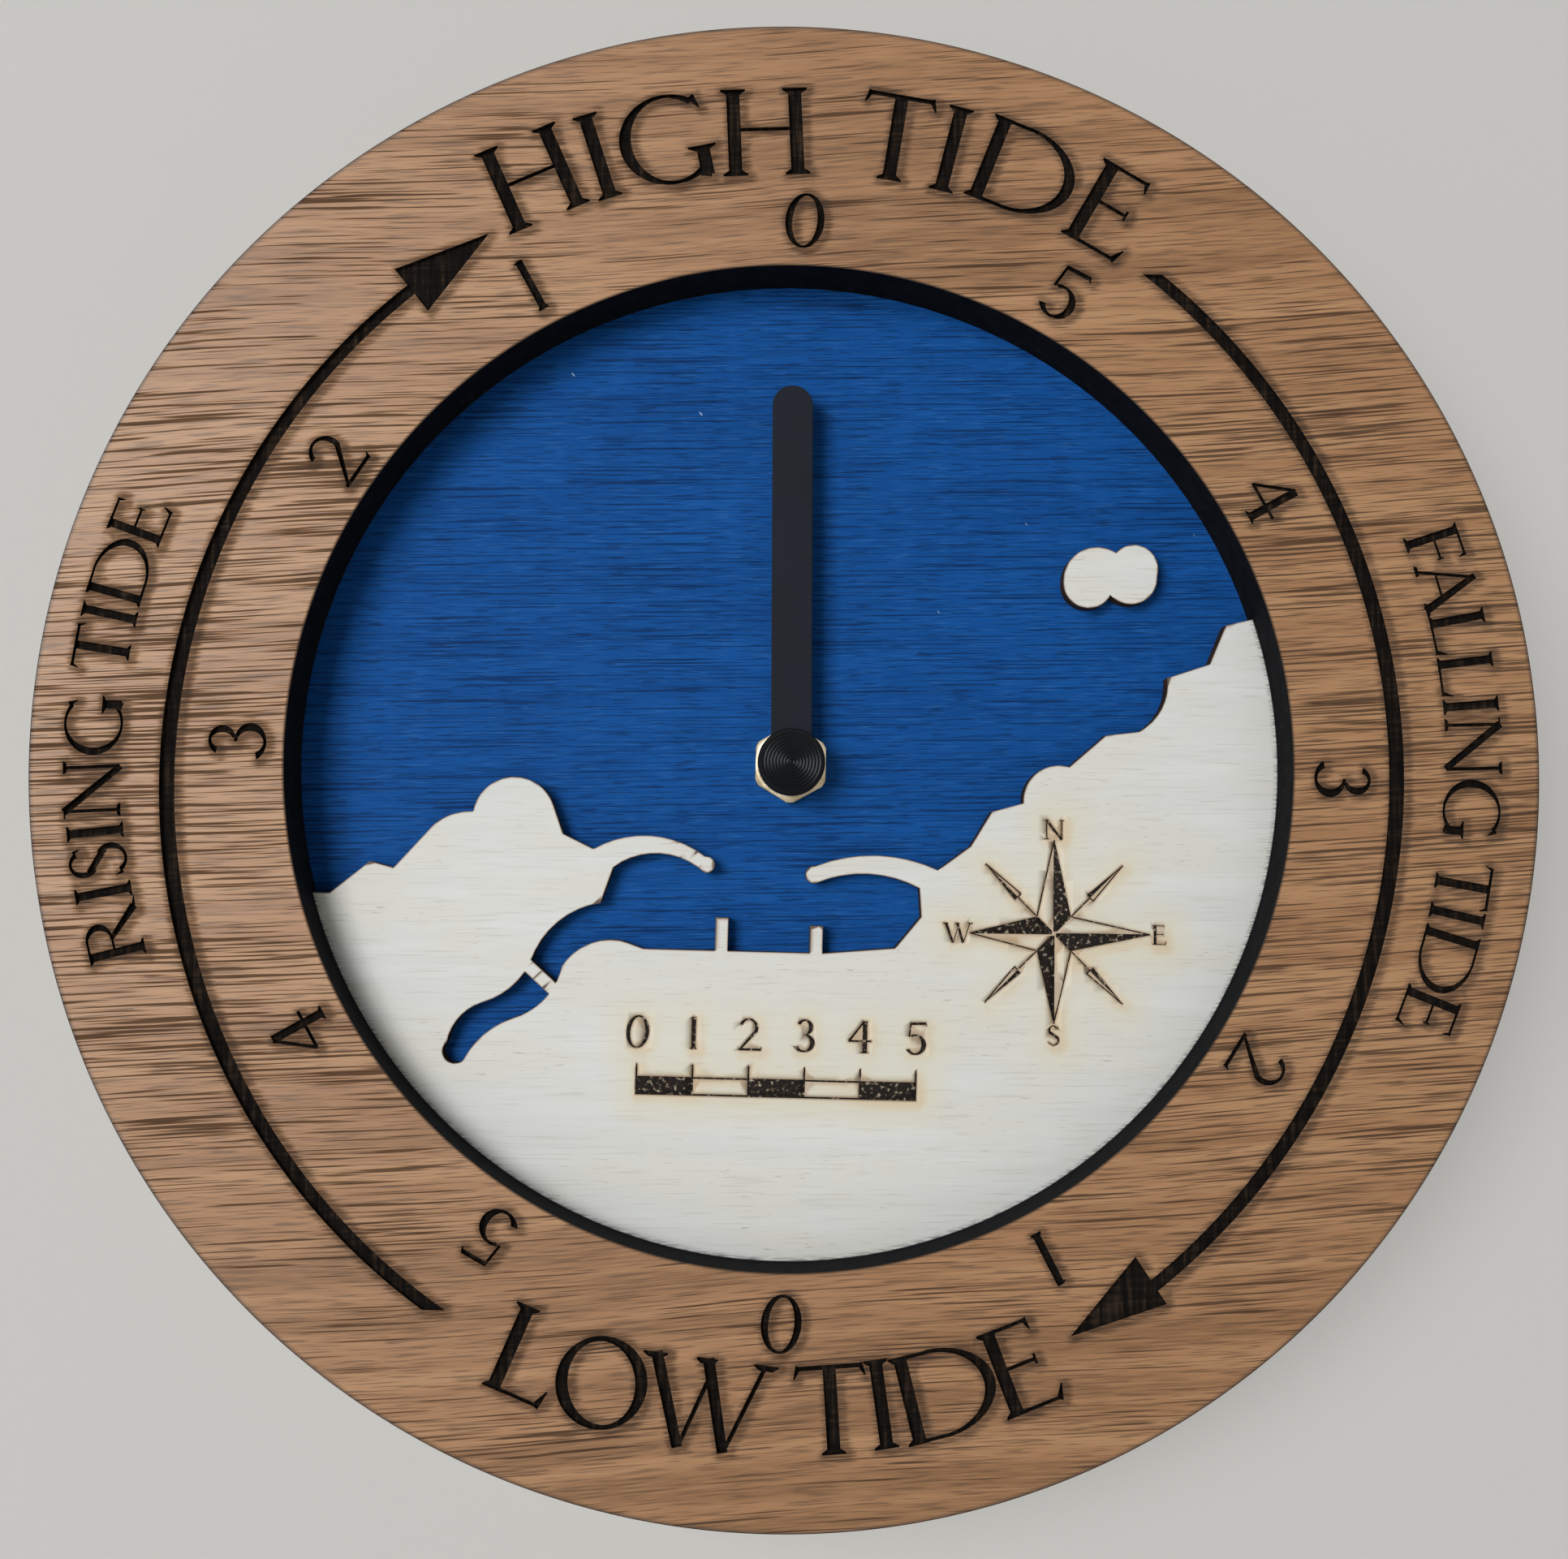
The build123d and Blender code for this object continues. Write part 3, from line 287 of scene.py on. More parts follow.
def etchedBrown():  # shallow etching on the white layer: dark brown, speckled with pale paint left behind
    material, tree, place = startMaterial("etchedBrown")
    burnt = addNode(tree, "TexNoise", {"Vector": place, "Scale": 1 / (0.7 * mm), "Detail": 3.0})
    colour = addNode(tree, "ValToRGB", {0: burnt, "stops": [
        (0.46, "#15100c"), (0.56, "#211813"), (0.61, "#6d5f50"), (0.70, "#b0a594")]})
    bump = addNode(tree, "Bump", {"Strength": 0.4, "Distance": 0.08 * mm, "Height": burnt})
    return closeMaterial(material, {
        "Roughness": 0.85, "Specular IOR Level": 0.25, "Base Color": colour, "Normal": bump})


def mattePaintedMetal(name, pale, dark, rough, metallic):  # fine powder finish, dots about 0.15 mm across
    material, tree, place = startMaterial(name)
    dots = addNode(tree, "TexNoise", {"Vector": place, "Scale": 1 / (0.15 * mm), "Detail": 2.0})
    wear = addNode(tree, "TexNoise", {"Vector": place, "Scale": 1 / (9.0 * mm), "Detail": 4.0})
    colour = addNode(tree, "ValToRGB", {0: wear, "stops": [(0.3, dark), (0.7, pale)]})
    bump = addNode(tree, "Bump", {"Strength": 0.12, "Distance": 0.05 * mm, "Height": dots})
    gloss = addNode(tree, "MapRange", {0: wear, 1: 0.3, 2: 0.7, 3: rough - 0.05, 4: rough + 0.07})
    return closeMaterial(material, {
        "Metallic": metallic, "Specular IOR Level": 0.12, "Base Color": colour, "Roughness": gloss,
        "Normal": bump})


# cut or stamped metal: bright, with faint tool marks 0.4 mm apart and tarnish
def turnedMetal(name, pale, dark, rough):
    material, tree, place = startMaterial(name)
    tarnish = addNode(tree, "TexNoise", {"Vector": place, "Scale": 1 / (4.0 * mm), "Detail": 5.0})
    marks = addNode(tree, "TexNoise", {"Vector": place, "Scale": 1 / (0.4 * mm), "Detail": 2.0})
    colour = addNode(tree, "ValToRGB", {0: tarnish, "stops": [(0.32, dark), (0.62, pale)]})
    gloss = addNode(tree, "MapRange", {0: marks, 1: 0.3, 2: 0.7, 3: rough, 4: rough + 0.18})
    bump = addNode(tree, "Bump", {"Strength": 0.1, "Distance": 0.04 * mm, "Height": marks})
    return closeMaterial(material, {
        "Metallic": 1.0, "Base Color": colour, "Roughness": gloss, "Normal": bump})


def mouldedPlastic(name, pale, dark, rough, grit):  # spark-textured moulding; grit is the dot size in mm
    material, tree, place = startMaterial(name)
    spark = addNode(tree, "TexNoise", {"Vector": place, "Scale": 1 / (grit * 1.6 * mm), "Detail": 2.0})
    flow = addNode(tree, "TexNoise", {"Vector": place, "Scale": 1 / (16.0 * mm), "Detail": 3.0})
    colour = addNode(tree, "ValToRGB", {0: flow, "stops": [(0.3, dark), (0.7, pale)]})
    gloss = addNode(tree, "MapRange", {0: spark, 1: 0.3, 2: 0.7, 3: rough - 0.06, 4: rough + 0.10})
    bump = addNode(tree, "Bump", {"Strength": 0.25, "Distance": 0.06 * mm, "Height": spark})
    return closeMaterial(material, {
        "Specular IOR Level": 0.4, "Base Color": colour, "Roughness": gloss, "Normal": bump})


def woundWire():  # enamelled copper wire, 0.4 mm turns drawn coarse enough to show, darker between the turns as painted shade and paler on each crest as a painted highlight
    material, tree, place = startMaterial("woundWire")
    laid = addNode(tree, "Mapping", {"vector_type": "TEXTURE", "Scale": (0.4 * mm, 1, 1), "Vector": place})
    turns = addNode(tree, "TexWave", {
        "bands_direction": "X", "Scale": oneWave, "Distortion": 0.4, "Vector": laid})
    # the colour darkens between the turns as painted shade and brightens on each crest as a painted highlight
    colour = addNode(tree, "ValToRGB", {
        0: turns, "stops": [(0.0, "#6a2f14"), (0.6, "#b8622e"), (1.0, "#d98a52")]})
    bump = addNode(tree, "Bump", {"Strength": 0.8, "Distance": 0.12 * mm, "Height": turns})
    return closeMaterial(material, {"Metallic": 0.8, "Roughness": 0.35, "Base Color": colour, "Normal": bump})


def circuitLaminate():  # green solder mask over copper tracks about 0.6 mm wide
    material, tree, place = startMaterial("circuitLaminate")
    tracks = addNode(tree, "TexVoronoi", {
        "feature": "DISTANCE_TO_EDGE", "Scale": 1 / (2.6 * mm), "Vector": place})
    colour, copper = layOver(tree, "#14532f", "#2f8a52", tracks, 0.17, 0.12)
    bump = addNode(tree, "Bump", {"Strength": 0.3, "Distance": 0.05 * mm, "Height": copper})
    return closeMaterial(material, {"Roughness": 0.38, "Base Color": colour, "Normal": bump})


def shrinkSleeve(low, high):  # printed shrink film: plain silver-grey with one green band by the positive end
    material, tree, place = startMaterial("shrinkSleeve")
    spot = addNode(tree, "SeparateXYZ", {0: place})
    begins = addNode(tree, "MapRange", {0: spot, 1: low - 0.1 * mm, 2: low + 0.1 * mm})
    ends = addNode(tree, "MapRange", {0: spot, 1: high + 0.1 * mm, 2: high - 0.1 * mm})
    band = addNode(tree, "Math", {"operation": "MULTIPLY", 0: begins, 1: ends})
    film = addNode(tree, "TexNoise", {"Vector": place, "Scale": 1 / (3.3 * mm), "Detail": 3.0})
    silver = addNode(tree, "ValToRGB", {0: film, "stops": [(0.3, "#9aa0a4"), (0.7, "#b4b9bc")]})
    colour = addNode(tree, "Mix", {**blended, 0: band, 6: silver, 7: "#2f6b4a"})
    bump = addNode(tree, "Bump", {"Strength": 0.08, "Distance": 0.1 * mm, "Height": film})
    return closeMaterial(material, {
        "Metallic": 0.25, "Roughness": 0.34, "Base Color": colour, "Normal": bump})


veneerFace = sapeleVeneer()
charFloor = laserChar()
cutEdge = laserCutEdge()
blackPaint = blackPaintedPly()
seaFace = blueStainedPly()
boardBack = rawPly()
landFace = whitewashedPly()
roseEtching = etchedBrown()
handPaint = mattePaintedMetal("blackPaintedSteel", "#171c25", "#12161e", 0.54, 0.0)
capFinish = mattePaintedMetal("turnedBlackAlloy", "#16181b", "#0e0f11", 0.30, 0.55)
brass = turnedMetal("turnedBrass", "#d9cdb2", "#96835f", 0.26)
nickelSteel = turnedMetal("nickelPlatedSteel", "#cfcfca", "#a3a39e", 0.26)
motorIron = turnedMetal("stampedIron", "#a9abad", "#7d7f82", 0.34)
ferrite = mattePaintedMetal("sinteredFerrite", "#3a3b3d", "#28292b", 0.55, 0.2)
caseAbs = mouldedPlastic("blackAbs", "#1a1b1d", "#131416", 0.48, 0.35)
wheelAcetal = mouldedPlastic("whiteAcetal", "#e9e7e0", "#dbd8cf", 0.36, 0.25)
knobAbs = mouldedPlastic("ribbedBlackAbs", "#202123", "#17181a", 0.42, 0.25)
softRubber = mouldedPlastic("blackRubber", "#1b1b1b", "#121212", 0.80, 0.30)
chipEpoxy = mouldedPlastic("blackEpoxy", "#1c1c1e", "#121214", 0.45, 0.20)
coilCopper = woundWire()
boardGreen = circuitLaminate()
print("materials made:", len(bpy.data.materials))


# Shaping helpers

# (radius, height in front of the wall) pairs turned about the hand's axis
def lathe(profile, segments, closed=True):
    shape = bmesh.new()
    points = [shape.verts.new((radius * mm, -height * mm, 0)) for radius, height in profile]
    pairs = list(zip(points, points[1:] + points[:1])) if closed else list(zip(points, points[1:]))
    lines = [shape.edges.new(pair) for pair in pairs]
    bmesh.ops.spin(shape, geom=points + lines, cent=(0, 0, 0), axis=(0, 1, 0), angle=2 * pi, steps=segments,
                   use_merge=True)
    bmesh.ops.remove_doubles(shape, verts=shape.verts, dist=1e-7)
    bmesh.ops.recalc_face_normals(shape, faces=shape.faces)
    return shape


def cadCopy(node):  # the node's own shape, merged, with its flat faces whole again
    shape = bmesh.new()
    shape.from_mesh(cadNodes[node].data)
    bmesh.ops.remove_doubles(shape, verts=shape.verts, dist=2e-6)
    bmesh.ops.dissolve_limit(shape, angle_limit=radians(0.3), verts=shape.verts, edges=shape.edges)
    return shape


def combine(first, second, operation):
    parts = []
    for shape in (first, second):
        mesh = bpy.data.meshes.new("blank")
        shape.to_mesh(mesh)
        shape.free()
        parts.append(bpy.data.objects.new("blank", mesh))
        scene.collection.objects.link(parts[-1])
    cut = parts[0].modifiers.new("cut", "BOOLEAN")
    cut.operation, cut.solver, cut.object = operation, "MANIFOLD", parts[1]
    graph = bpy.context.evaluated_depsgraph_get()
    mesh = bpy.data.meshes.new_from_object(parts[0].evaluated_get(graph))
    result = bmesh.new()
    result.from_mesh(mesh)
    spent = [part.data for part in parts] + [mesh]
    for part in parts:
        bpy.data.objects.remove(part)
    for mesh in spent:
        bpy.data.meshes.remove(mesh)
    return result


def setPiece(shape, name, materials, body, stoodFor, sharp=32):
    mesh = bpy.data.meshes.new(name)
    shape.to_mesh(mesh)
    shape.free()
    for material in materials:
        mesh.materials.append(material)
    mesh.shade_smooth()
    mesh.set_sharp_from_angle(angle=radians(sharp))
    piece = bpy.data.objects.new(name, mesh)
    scene.collection.objects.link(piece)
    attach(piece, body)
    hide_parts(*stoodFor)
    return piece


def dialDistance(face):  # mm from the hand's axis to a face's middle
    spot = face.calc_center_median()
    return Vector((spot.x, spot.z)).length / mm


trace = {"step": 0.3, "furthest": 9.0}


# mm from each point to the nearest start edge, moved by shift
def distances(shape, name, starts, shift=(0, 0, 0)):
    gap, furthest = trace["step"] * mm, trace["furthest"]
    tree = kdtree.KDTree(sum(int(edge.calc_length() / gap) + 2 for edge in starts))
    count = 0
    for edge in starts:
        ends = [corner.co for corner in edge.verts]
        steps = int(edge.calc_length() / gap) + 1
        for step in range(steps + 1):
            tree.insert(ends[0].lerp(ends[1], step / steps), count)
            count += 1
    tree.balance()
    layer = shape.verts.layers.float.new(name)
    for corner in shape.verts:
        found = tree.find(corner.co - Vector(shift) * mm)[2] / mm if count else furthest
        corner[layer] = min(furthest, found)


# Roman capitals and numerals, drawn on a capital height of 1 about their own middle

stem, hair = 0.150, 0.042
letterStrokes = {
    "H": [("bar", -0.35, 0, -0.35, 1, stem, stem), ("bar", 0.35, 0, 0.35, 1, stem, stem),
          ("bar", -0.35, 0.53, 0.35, 0.53, hair, hair),
          ("serif", -0.35, 0), ("serif", 0.35, 0), ("serif", -0.35, 1), ("serif", 0.35, 1)],
    "I": [("bar", 0, 0, 0, 1, stem, stem), ("serif", 0, 0), ("serif", 0, 1)],
    "G": [("bowl", 0.06, 0.5, 0.57, 0.52, 0.135, hair, 0, 52, 310),
          ("bar", 0.41, 0.02, 0.41, 0.36, stem, stem),
          ("serif", 0.40, 0.37, 0.32), ("bar", 0.38, 0.95, 0.46, 0.80, 0.09, 0.015),
          ("bar", 0.30, 0.06, 0.45, 0.02, hair, 0.06)],
    "T": [("bar", -0.37, 0.974, 0.37, 0.974, 0.052, 0.052), ("bar", 0, 0, 0, 0.98, stem, stem),
          ("serif", 0, 0),
          ("bar", -0.345, 1.0, -0.405, 0.86, 0.07, 0.015), ("bar", 0.345, 1.0, 0.405, 0.86, 0.07, 0.015)],
    "D": [("bar", -0.46, 0, -0.46, 1, stem, stem), ("bowl", -0.16, 0.5, 0.70, 0.5, 0.13, hair, 0, -90, 90),
          ("bar", -0.46, 0.976, -0.15, 0.976, hair, hair), ("bar", -0.46, 0.024, -0.15, 0.024, hair, hair),
          ("serif", -0.47, 0, 0.25), ("serif", -0.47, 1, 0.25)],
    "E": [("bar", -0.27, 0, -0.27, 1, stem, stem), ("bar", -0.27, 0.976, 0.18, 0.976, hair, hair),
          ("bar", -0.27, 0.53, 0.14, 0.53, hair, hair), ("bar", -0.27, 0.024, 0.26, 0.024, hair, hair),
          ("bar", 0.165, 1.0, 0.20, 0.86, 0.07, 0.015), ("bar", 0.14, 0.59, 0.14, 0.47, 0.03, 0.03),
          ("bar", 0.24, 0.0, 0.32, 0.17, 0.08, 0.015), ("serif", -0.28, 0, 0.25), ("serif", -0.28, 1, 0.25)],
    "F": [("bar", -0.22, 0, -0.22, 1, stem, stem), ("bar", -0.22, 0.976, 0.24, 0.976, hair, hair),
          ("bar", -0.22, 0.53, 0.19, 0.53, hair, hair), ("bar", 0.225, 1.0, 0.26, 0.86, 0.07, 0.015),
          ("bar", 0.19, 0.59, 0.19, 0.47, 0.03, 0.03), ("serif", -0.22, 0), ("serif", -0.23, 1, 0.25)],
    "L": [("bar", -0.25, 0, -0.25, 1, stem, stem), ("bar", -0.25, 0.024, 0.28, 0.024, hair, hair),
          ("bar", 0.26, 0.0, 0.33, 0.21, 0.09, 0.015), ("serif", -0.26, 0, 0.25), ("serif", -0.25, 1)],
    "O": [("bowl", 0, 0.5, 0.52, 0.52, 0.14, 0.055, 24, 0, 360)],
    "W": [("bar", -0.62, 1, -0.25, -0.02, 0.135, 0.12), ("bar", -0.24, 0, 0.0, 0.76, 0.05, 0.05),
          ("bar", -0.03, 1, 0.265, -0.02, 0.135, 0.12), ("bar", 0.275, 0, 0.625, 0.99, 0.05, 0.05),
          ("serif", -0.63, 1), ("serif", -0.04, 1, 0.24), ("serif", 0.635, 1)],
    "R": [("bar", -0.38, 0, -0.38, 1, stem, stem), ("bowl", -0.13, 0.755, 0.31, 0.245, 0.12, hair, 0, -90,
                                                    90),
          ("bar", -0.38, 0.976, -0.12, 0.976, hair, hair), ("bar", -0.38, 0.534, -0.12, 0.534, hair, hair),
          ("bar", -0.13, 0.55, 0.36, 0.03, 0.08, 0.14), ("bar", 0.32, 0.045, 0.53, 0.0, 0.07, 0.015),
          ("serif", -0.38, 0), ("serif", -0.39, 1, 0.25)],
    "S": [("bowl", -0.02, 0.755, 0.25, 0.262, 0.10, 0.05, 0, 32, 238),
          ("bowl", 0.01, 0.265, 0.29, 0.282, 0.10, 0.05, 0, -148, 58),
          ("bar", -0.19, 0.67, 0.21, 0.37, 0.12, 0.12), ("bar", 0.20, 0.93, 0.245, 0.80, 0.06, 0.015),
          ("bar", -0.235, 0.08, -0.285, 0.22, 0.06, 0.015)],
    "N": [("bar", -0.39, 0, -0.39, 0.97, 0.06, 0.06), ("bar", 0.39, 0, 0.39, 1, 0.06, 0.06),
          ("bar", -0.40, 1, 0.385, -0.02, 0.135, 0.12), ("serif", -0.39, 0, 0.23), ("serif", 0.39, 1, 0.23),
          ("bar", -0.52, 0.985, -0.36, 0.985, 0.03, 0.03)],
    "A": [("bar", -0.35, 0, 0.0, 1.0, 0.055, 0.055), ("bar", 0.37, 0, -0.02, 1.03, stem, 0.11),
          ("bar", -0.23, 0.35, 0.24, 0.35, hair, hair), ("serif", -0.355, 0, 0.20), ("serif", 0.375, 0)],
    "0": [("bowl", 0, 0.5, 0.355, 0.51, 0.128, 0.05, -5, 0, 360)],
    "1": [("bar", 0, 0, 0, 1, 0.135, 0.135), ("serif", 0, 0, 0.20),
          ("bar", -0.10, 0.955, 0.03, 0.985, 0.03, 0.05)],
    "2": [("bowl", -0.03, 0.70, 0.30, 0.30, 0.105, 0.05, 0, -25, 160),
          ("bar", 0.21, 0.62, -0.29, 0.03, 0.10, 0.055),
          ("bar", -0.33, 0.035, 0.33, 0.035, 0.07, 0.07), ("bar", 0.32, 0.0, 0.385, 0.12, 0.07, 0.015)],
    "3": [("bowl", -0.02, 0.765, 0.26, 0.245, 0.125, 0.055, 0, -75, 150),
          ("bowl", -0.04, 0.275, 0.34, 0.285, 0.145, 0.055, 0, -150, 92)],
    "4": [("bar", 0.10, 1.0, -0.36, 0.39, 0.06, 0.06), ("bar", -0.39, 0.38, 0.35, 0.38, 0.06, 0.06),
          ("bar", 0.12, 0, 0.12, 1.0, stem, stem), ("serif", 0.12, 0, 0.26)],
    "5": [("bar", -0.19, 0.955, 0.28, 0.975, 0.08, 0.08), ("bar", -0.18, 0.98, -0.23, 0.55, 0.05, 0.05),
          ("bowl", -0.04, 0.31, 0.34, 0.32, 0.145, 0.055, 0, -148, 118),
          ("bar", 0.27, 1.01, 0.31, 0.90, 0.03, 0.03)]}

dialPlane = Matrix.Rotation(pi / 2, 4, "X") @ Matrix.Scale(mm, 4)  # x right, y up the dial, in mm


def markFace(marks, place, points):
    corners = [marks.verts.new(place @ Vector((x, y, 0))) for x, y in points]
    marks.faces.new(corners)


def markBar(marks, place, x0, y0, x1, y1, width0, width1):
    side = Vector((y0 - y1, x1 - x0)).normalized() / 2
    markFace(marks, place, [(x0 + side.x * width0, y0 + side.y * width0),
                            (x0 - side.x * width0, y0 - side.y * width0),
                            (x1 - side.x * width1, y1 - side.y * width1),
                            (x1 + side.x * width1, y1 + side.y * width1)])


def markSerif(marks, place, x, y, width=0.28):
    up = 1 if y < 0.3 else -1
    markFace(marks, place, [(x - width / 2, y), (x + width / 2, y), (x + width / 2, y + 0.022 * up),
                            (x + 0.075, y + 0.065 * up),
                            (x - 0.075, y + 0.065 * up), (x - width / 2, y + 0.022 * up)])


def markBowl(marks, place, x, y, across, high, thick, thin, tilt, start, end, segments=72):
    home = place @ Matrix.Translation((x, y, 0)) @ Matrix.Rotation(radians(tilt), 4, "Z")
    loops = []
    for wide, tall in ((across, high), (across - thick, high - thin)):
        size = Matrix.Diagonal((wide, tall, 1, 1))
        ring = bmesh.ops.create_circle(marks, segments=segments, radius=1, matrix=home @ size)["verts"]
        loops += {edge for corner in ring for edge in corner.link_edges}
    band = bmesh.ops.bridge_loops(marks, edges=loops)["faces"]
    back = home.inverted()
    spare = []
    for face in band:
        spot = back @ face.calc_center_median()
        turn = (atan2(spot.y / high, spot.x / across) - radians(start)) % (2 * pi)
        if turn > radians(end - start):
            spare.append(face)
    bmesh.ops.delete(marks, geom=spare, context="FACES")


strokeMakers = {"bar": markBar, "serif": markSerif, "bowl": markBowl}


def markGlyph(layers, place, glyph):
    for index, (kind, *sizes) in enumerate(letterStrokes[glyph]):
        strokeMakers[kind](layerOf(layers, index), place, *sizes)


def layerOf(layers, index):  # strokes that cross lie in different layers, which are cut one after another
    while len(layers) <= index:
        layers.append(bmesh.new())
    return layers[index]


def carve(shape, layers, front, depth):  # flat marks become cutters that reach depth mm below a face at front
    above, apart = 0.4, 0.004  # a hair's difference in depth keeps crossing floors apart
    for index, marks in enumerate(layers):
        reach = depth + apart * index
        bmesh.ops.translate(marks, verts=marks.verts, vec=(0, -(front + above) * mm, 0))
        walls = bmesh.ops.extrude_face_region(marks, geom=marks.faces[:])["geom"]
        sunk = [item for item in walls if isinstance(item, bmesh.types.BMVert)]
        bmesh.ops.translate(marks, verts=sunk, vec=(0, (above + reach) * mm, 0))
        bmesh.ops.recalc_face_normals(marks, faces=marks.faces)
        shape = combine(shape, marks, "DIFFERENCE")
    shape.normal_update()
    return shape


# Dial ring: veneered ply with the tide words, the hours to and from the tide, and the two arrows

dialRing = {
    "outer": 124.96, "opening": 83.5, "front": 30.6, "back": 27.6, "singe": 0.2, "segments": 640, "rows": 40,
    "depth": 0.8,
    "numeralHeight": 9.3, "sootShift": (0.5, 0, -0.25), "faceWithin": 0.02, "wallWithin": 0.3,
    "rimWithin": 0.25,
    "floorWithin": 0.3, "arrowSegments": 512, "sharp": 25}

# each arrow: the circles of its two edges as x, y and radius, its head's tip and corners, and where its tail
# is cut level
risingArrow = {"outer": (2.54, -2.91, 106.17), "inner": (3.78, -2.75, 104.91),
               "head": [(-53.25, 87.1), (-68.75, 80.4), (-62.9, 73.5)], "tail": -90.6}
fallingArrow = {"outer": (-5.78, -1.09, 107.88), "inner": (-6.98, -1.09, 106.58),
                "head": [(47.85, -92.6), (58.25, -79.6), (63.5, -87.1)], "tail": 84.1}

# each word: capital height, tops inward, and its letters at degrees clockwise from the top on their own base
# radius
tideWords = [
    (15, False, [("H", -25.59, 99.9), ("I", -19.39, 99.6), ("G", -13.19, 99.5), ("H", -4, 99.1),
                 ("T", 7.85, 99.7),
                 ("I", 13, 99.8), ("D", 20.3, 100.1), ("E", 28.75, 100.4)]),
    (14.3, True, [("L", 202.05, 112.4), ("O", 195.44, 112.5), ("W", 186.14, 112.2), ("T", 174.99, 112.6),
                  ("I", 170.6, 112.6), ("D", 164.49, 112.6), ("E", 157.46, 112.6)]),
    (9.2, False, [("R", 254.2, 109.6), ("I", 257.45, 109.8), ("S", 260.05, 109.9), ("I", 262.45, 109.9),
                  ("N", 266, 110.1), ("G", 271.1, 110.1), ("T", 277.55, 110.3), ("I", 280.45, 110.3),
                  ("D", 284.35, 110.3), ("E", 288.85, 110.3)]),
    (9.4, False, [("F", 70.15, 109.3), ("A", 73.25, 109.3), ("L", 77.55, 109.4), ("L", 81.2, 109.3),
                  ("I", 83.7, 109.3), ("N", 87.2, 109.2), ("G", 92.4, 108.9), ("T", 98.9, 108.7),
                  ("I", 101.5, 108.7), ("D", 105.65, 108.6), ("E", 110.25, 108.5)])]

# the hours to and from the tide: numeral, degrees clockwise from the top, base radius
tideHours = [("0", -0.2, 86.6), ("5", 28.62, 86.8), ("4", 59.6, 86.9), ("3", 90.5, 87.1), ("2", 121.5, 86.9),
             ("1", 151.3, 86.9),
             ("0", 179.56, 87.0), ("5", 210.75, 86.8), ("4", 239.35, 86.8), ("3", 270.5, 86.5),
             ("2", 302.0, 86.3), ("1", 329.7, 86.3)]


def ringProfile():
    p = dialRing
    faces = [p["opening"] + (p["outer"] - p["singe"] - p["opening"]) * i / p["rows"]
             for i in range(p["rows"] + 1)]
    front = [(radius, p["front"]) for radius in faces]
    return front + [(p["outer"], p["front"] - p["singe"]), (p["outer"], p["back"]), (p["opening"], p["back"])]


# a band between two circles, thinner to its ends, cut at the head and level at the tail
def arrowLine(arrow):
    line = bmesh.new()
    loops = []
    for x, y, radius in (arrow["outer"], arrow["inner"]):
        ring = bmesh.ops.create_circle(line, segments=dialRing["arrowSegments"], radius=radius,
                                       matrix=dialPlane @ Matrix.Translation((x, y, 0)))["verts"]
        loops += {edge for corner in ring for edge in corner.link_edges}
    bmesh.ops.bridge_loops(line, edges=loops)
    tip, *corners = [Vector(spot) for spot in arrow["head"]]
    neck = (corners[0] + corners[1]) / 2
    ahead = (tip - neck).normalized()
    side, tail = (1 if tip.x < 0 else -1), arrow["tail"]
    for spot, away in (((0, 0), (side, 0)), ((0, tail), (0, tail)), (neck + ahead, ahead)):
        bmesh.ops.bisect_plane(line, geom=line.verts[:] + line.edges[:] + line.faces[:], dist=1e-7,
                               clear_outer=True,
                               plane_co=dialPlane @ Vector((*spot, 0)), plane_no=(away[0], 0, away[1]))
    return line


def ringMarks():
    p = dialRing
    layers = []
    for height, inward, letters in tideWords + [(p["numeralHeight"], False, tideHours)]:
        for glyph, turn, base in letters:
            spin = Matrix.Rotation(radians((180 if inward else 0) - turn), 4, "Z")
            rise = Matrix.Translation((0, -base if inward else base, 0))
            markGlyph(layers, dialPlane @ spin @ rise @ Matrix.Scale(height, 4), glyph)
    for arrow in (risingArrow, fallingArrow):
        layers.append(arrowLine(arrow))
        markFace(layerOf(layers, 0), dialPlane, arrow["head"])
    return layers


def makeRing():
    p = dialRing
    shape = carve(lathe(ringProfile(), p["segments"]), ringMarks(), p["front"], p["depth"])
    for face in shape.faces:
        radius = dialDistance(face)
        sunk = face.calc_center_median().y / mm + p["front"]
        if sunk < p["faceWithin"]:
            face.material_index = 0
        elif radius < p["opening"] + p["wallWithin"]:
            face.material_index = 3
        elif radius > p["outer"] - p["rimWithin"] or sunk > p["depth"] + p["floorWithin"]:
            face.material_index = 2
        else:
            face.material_index = 1
    starts = [edge for edge in shape.edges if {face.material_index for face in edge.link_faces} == {0, 1}]
    distances(shape, "sootDistance", starts, p["sootShift"])
    finishes = [veneerFace, charFloor, cutEdge, blackPaint]
    setPiece(shape, "engravedRing", finishes, "clock", ["dial_ring"], p["sharp"])


makeRing()
print("dial ring engraved")


# Layers behind the ring: black spacer, white land, blue board

layers = {
    "outer": 124.96, "opening": 83.5, "spacer": (22.6, 27.6), "land": (19.6, 22.6), "board": (16.6, 19.6),
    "bushHole": 4.25,
    "edge": 0.15, "segments": 320, "etching": 0.22, "sootShift": (0.5, 0, -0.5),
    "grid": 1.6, "gridShift": 0.37, "gridLow": -86, "gridRight": 86, "gridTop": 42, "flat": 0.9,
    "within": 0.01,
    "rimWithin": 0.3}

# one quarter of the compass rose, north and north-east, in mm about its middle: it is turned to make the rest
compassRose = {
    "middle": (45.45, -27.65), "turn": 0.8, "letterHeight": 3.3, "letterGap": (0.1, 0.1, 0.3, 0.3),
    "hairline": 0.22,
    "points": (15.9, 16.4, 15.2, 14.4), "waist": (2.9, 2.9), "rayFrom": 8.7, "rayTo": 16.6, "rayHalf": 0.75}

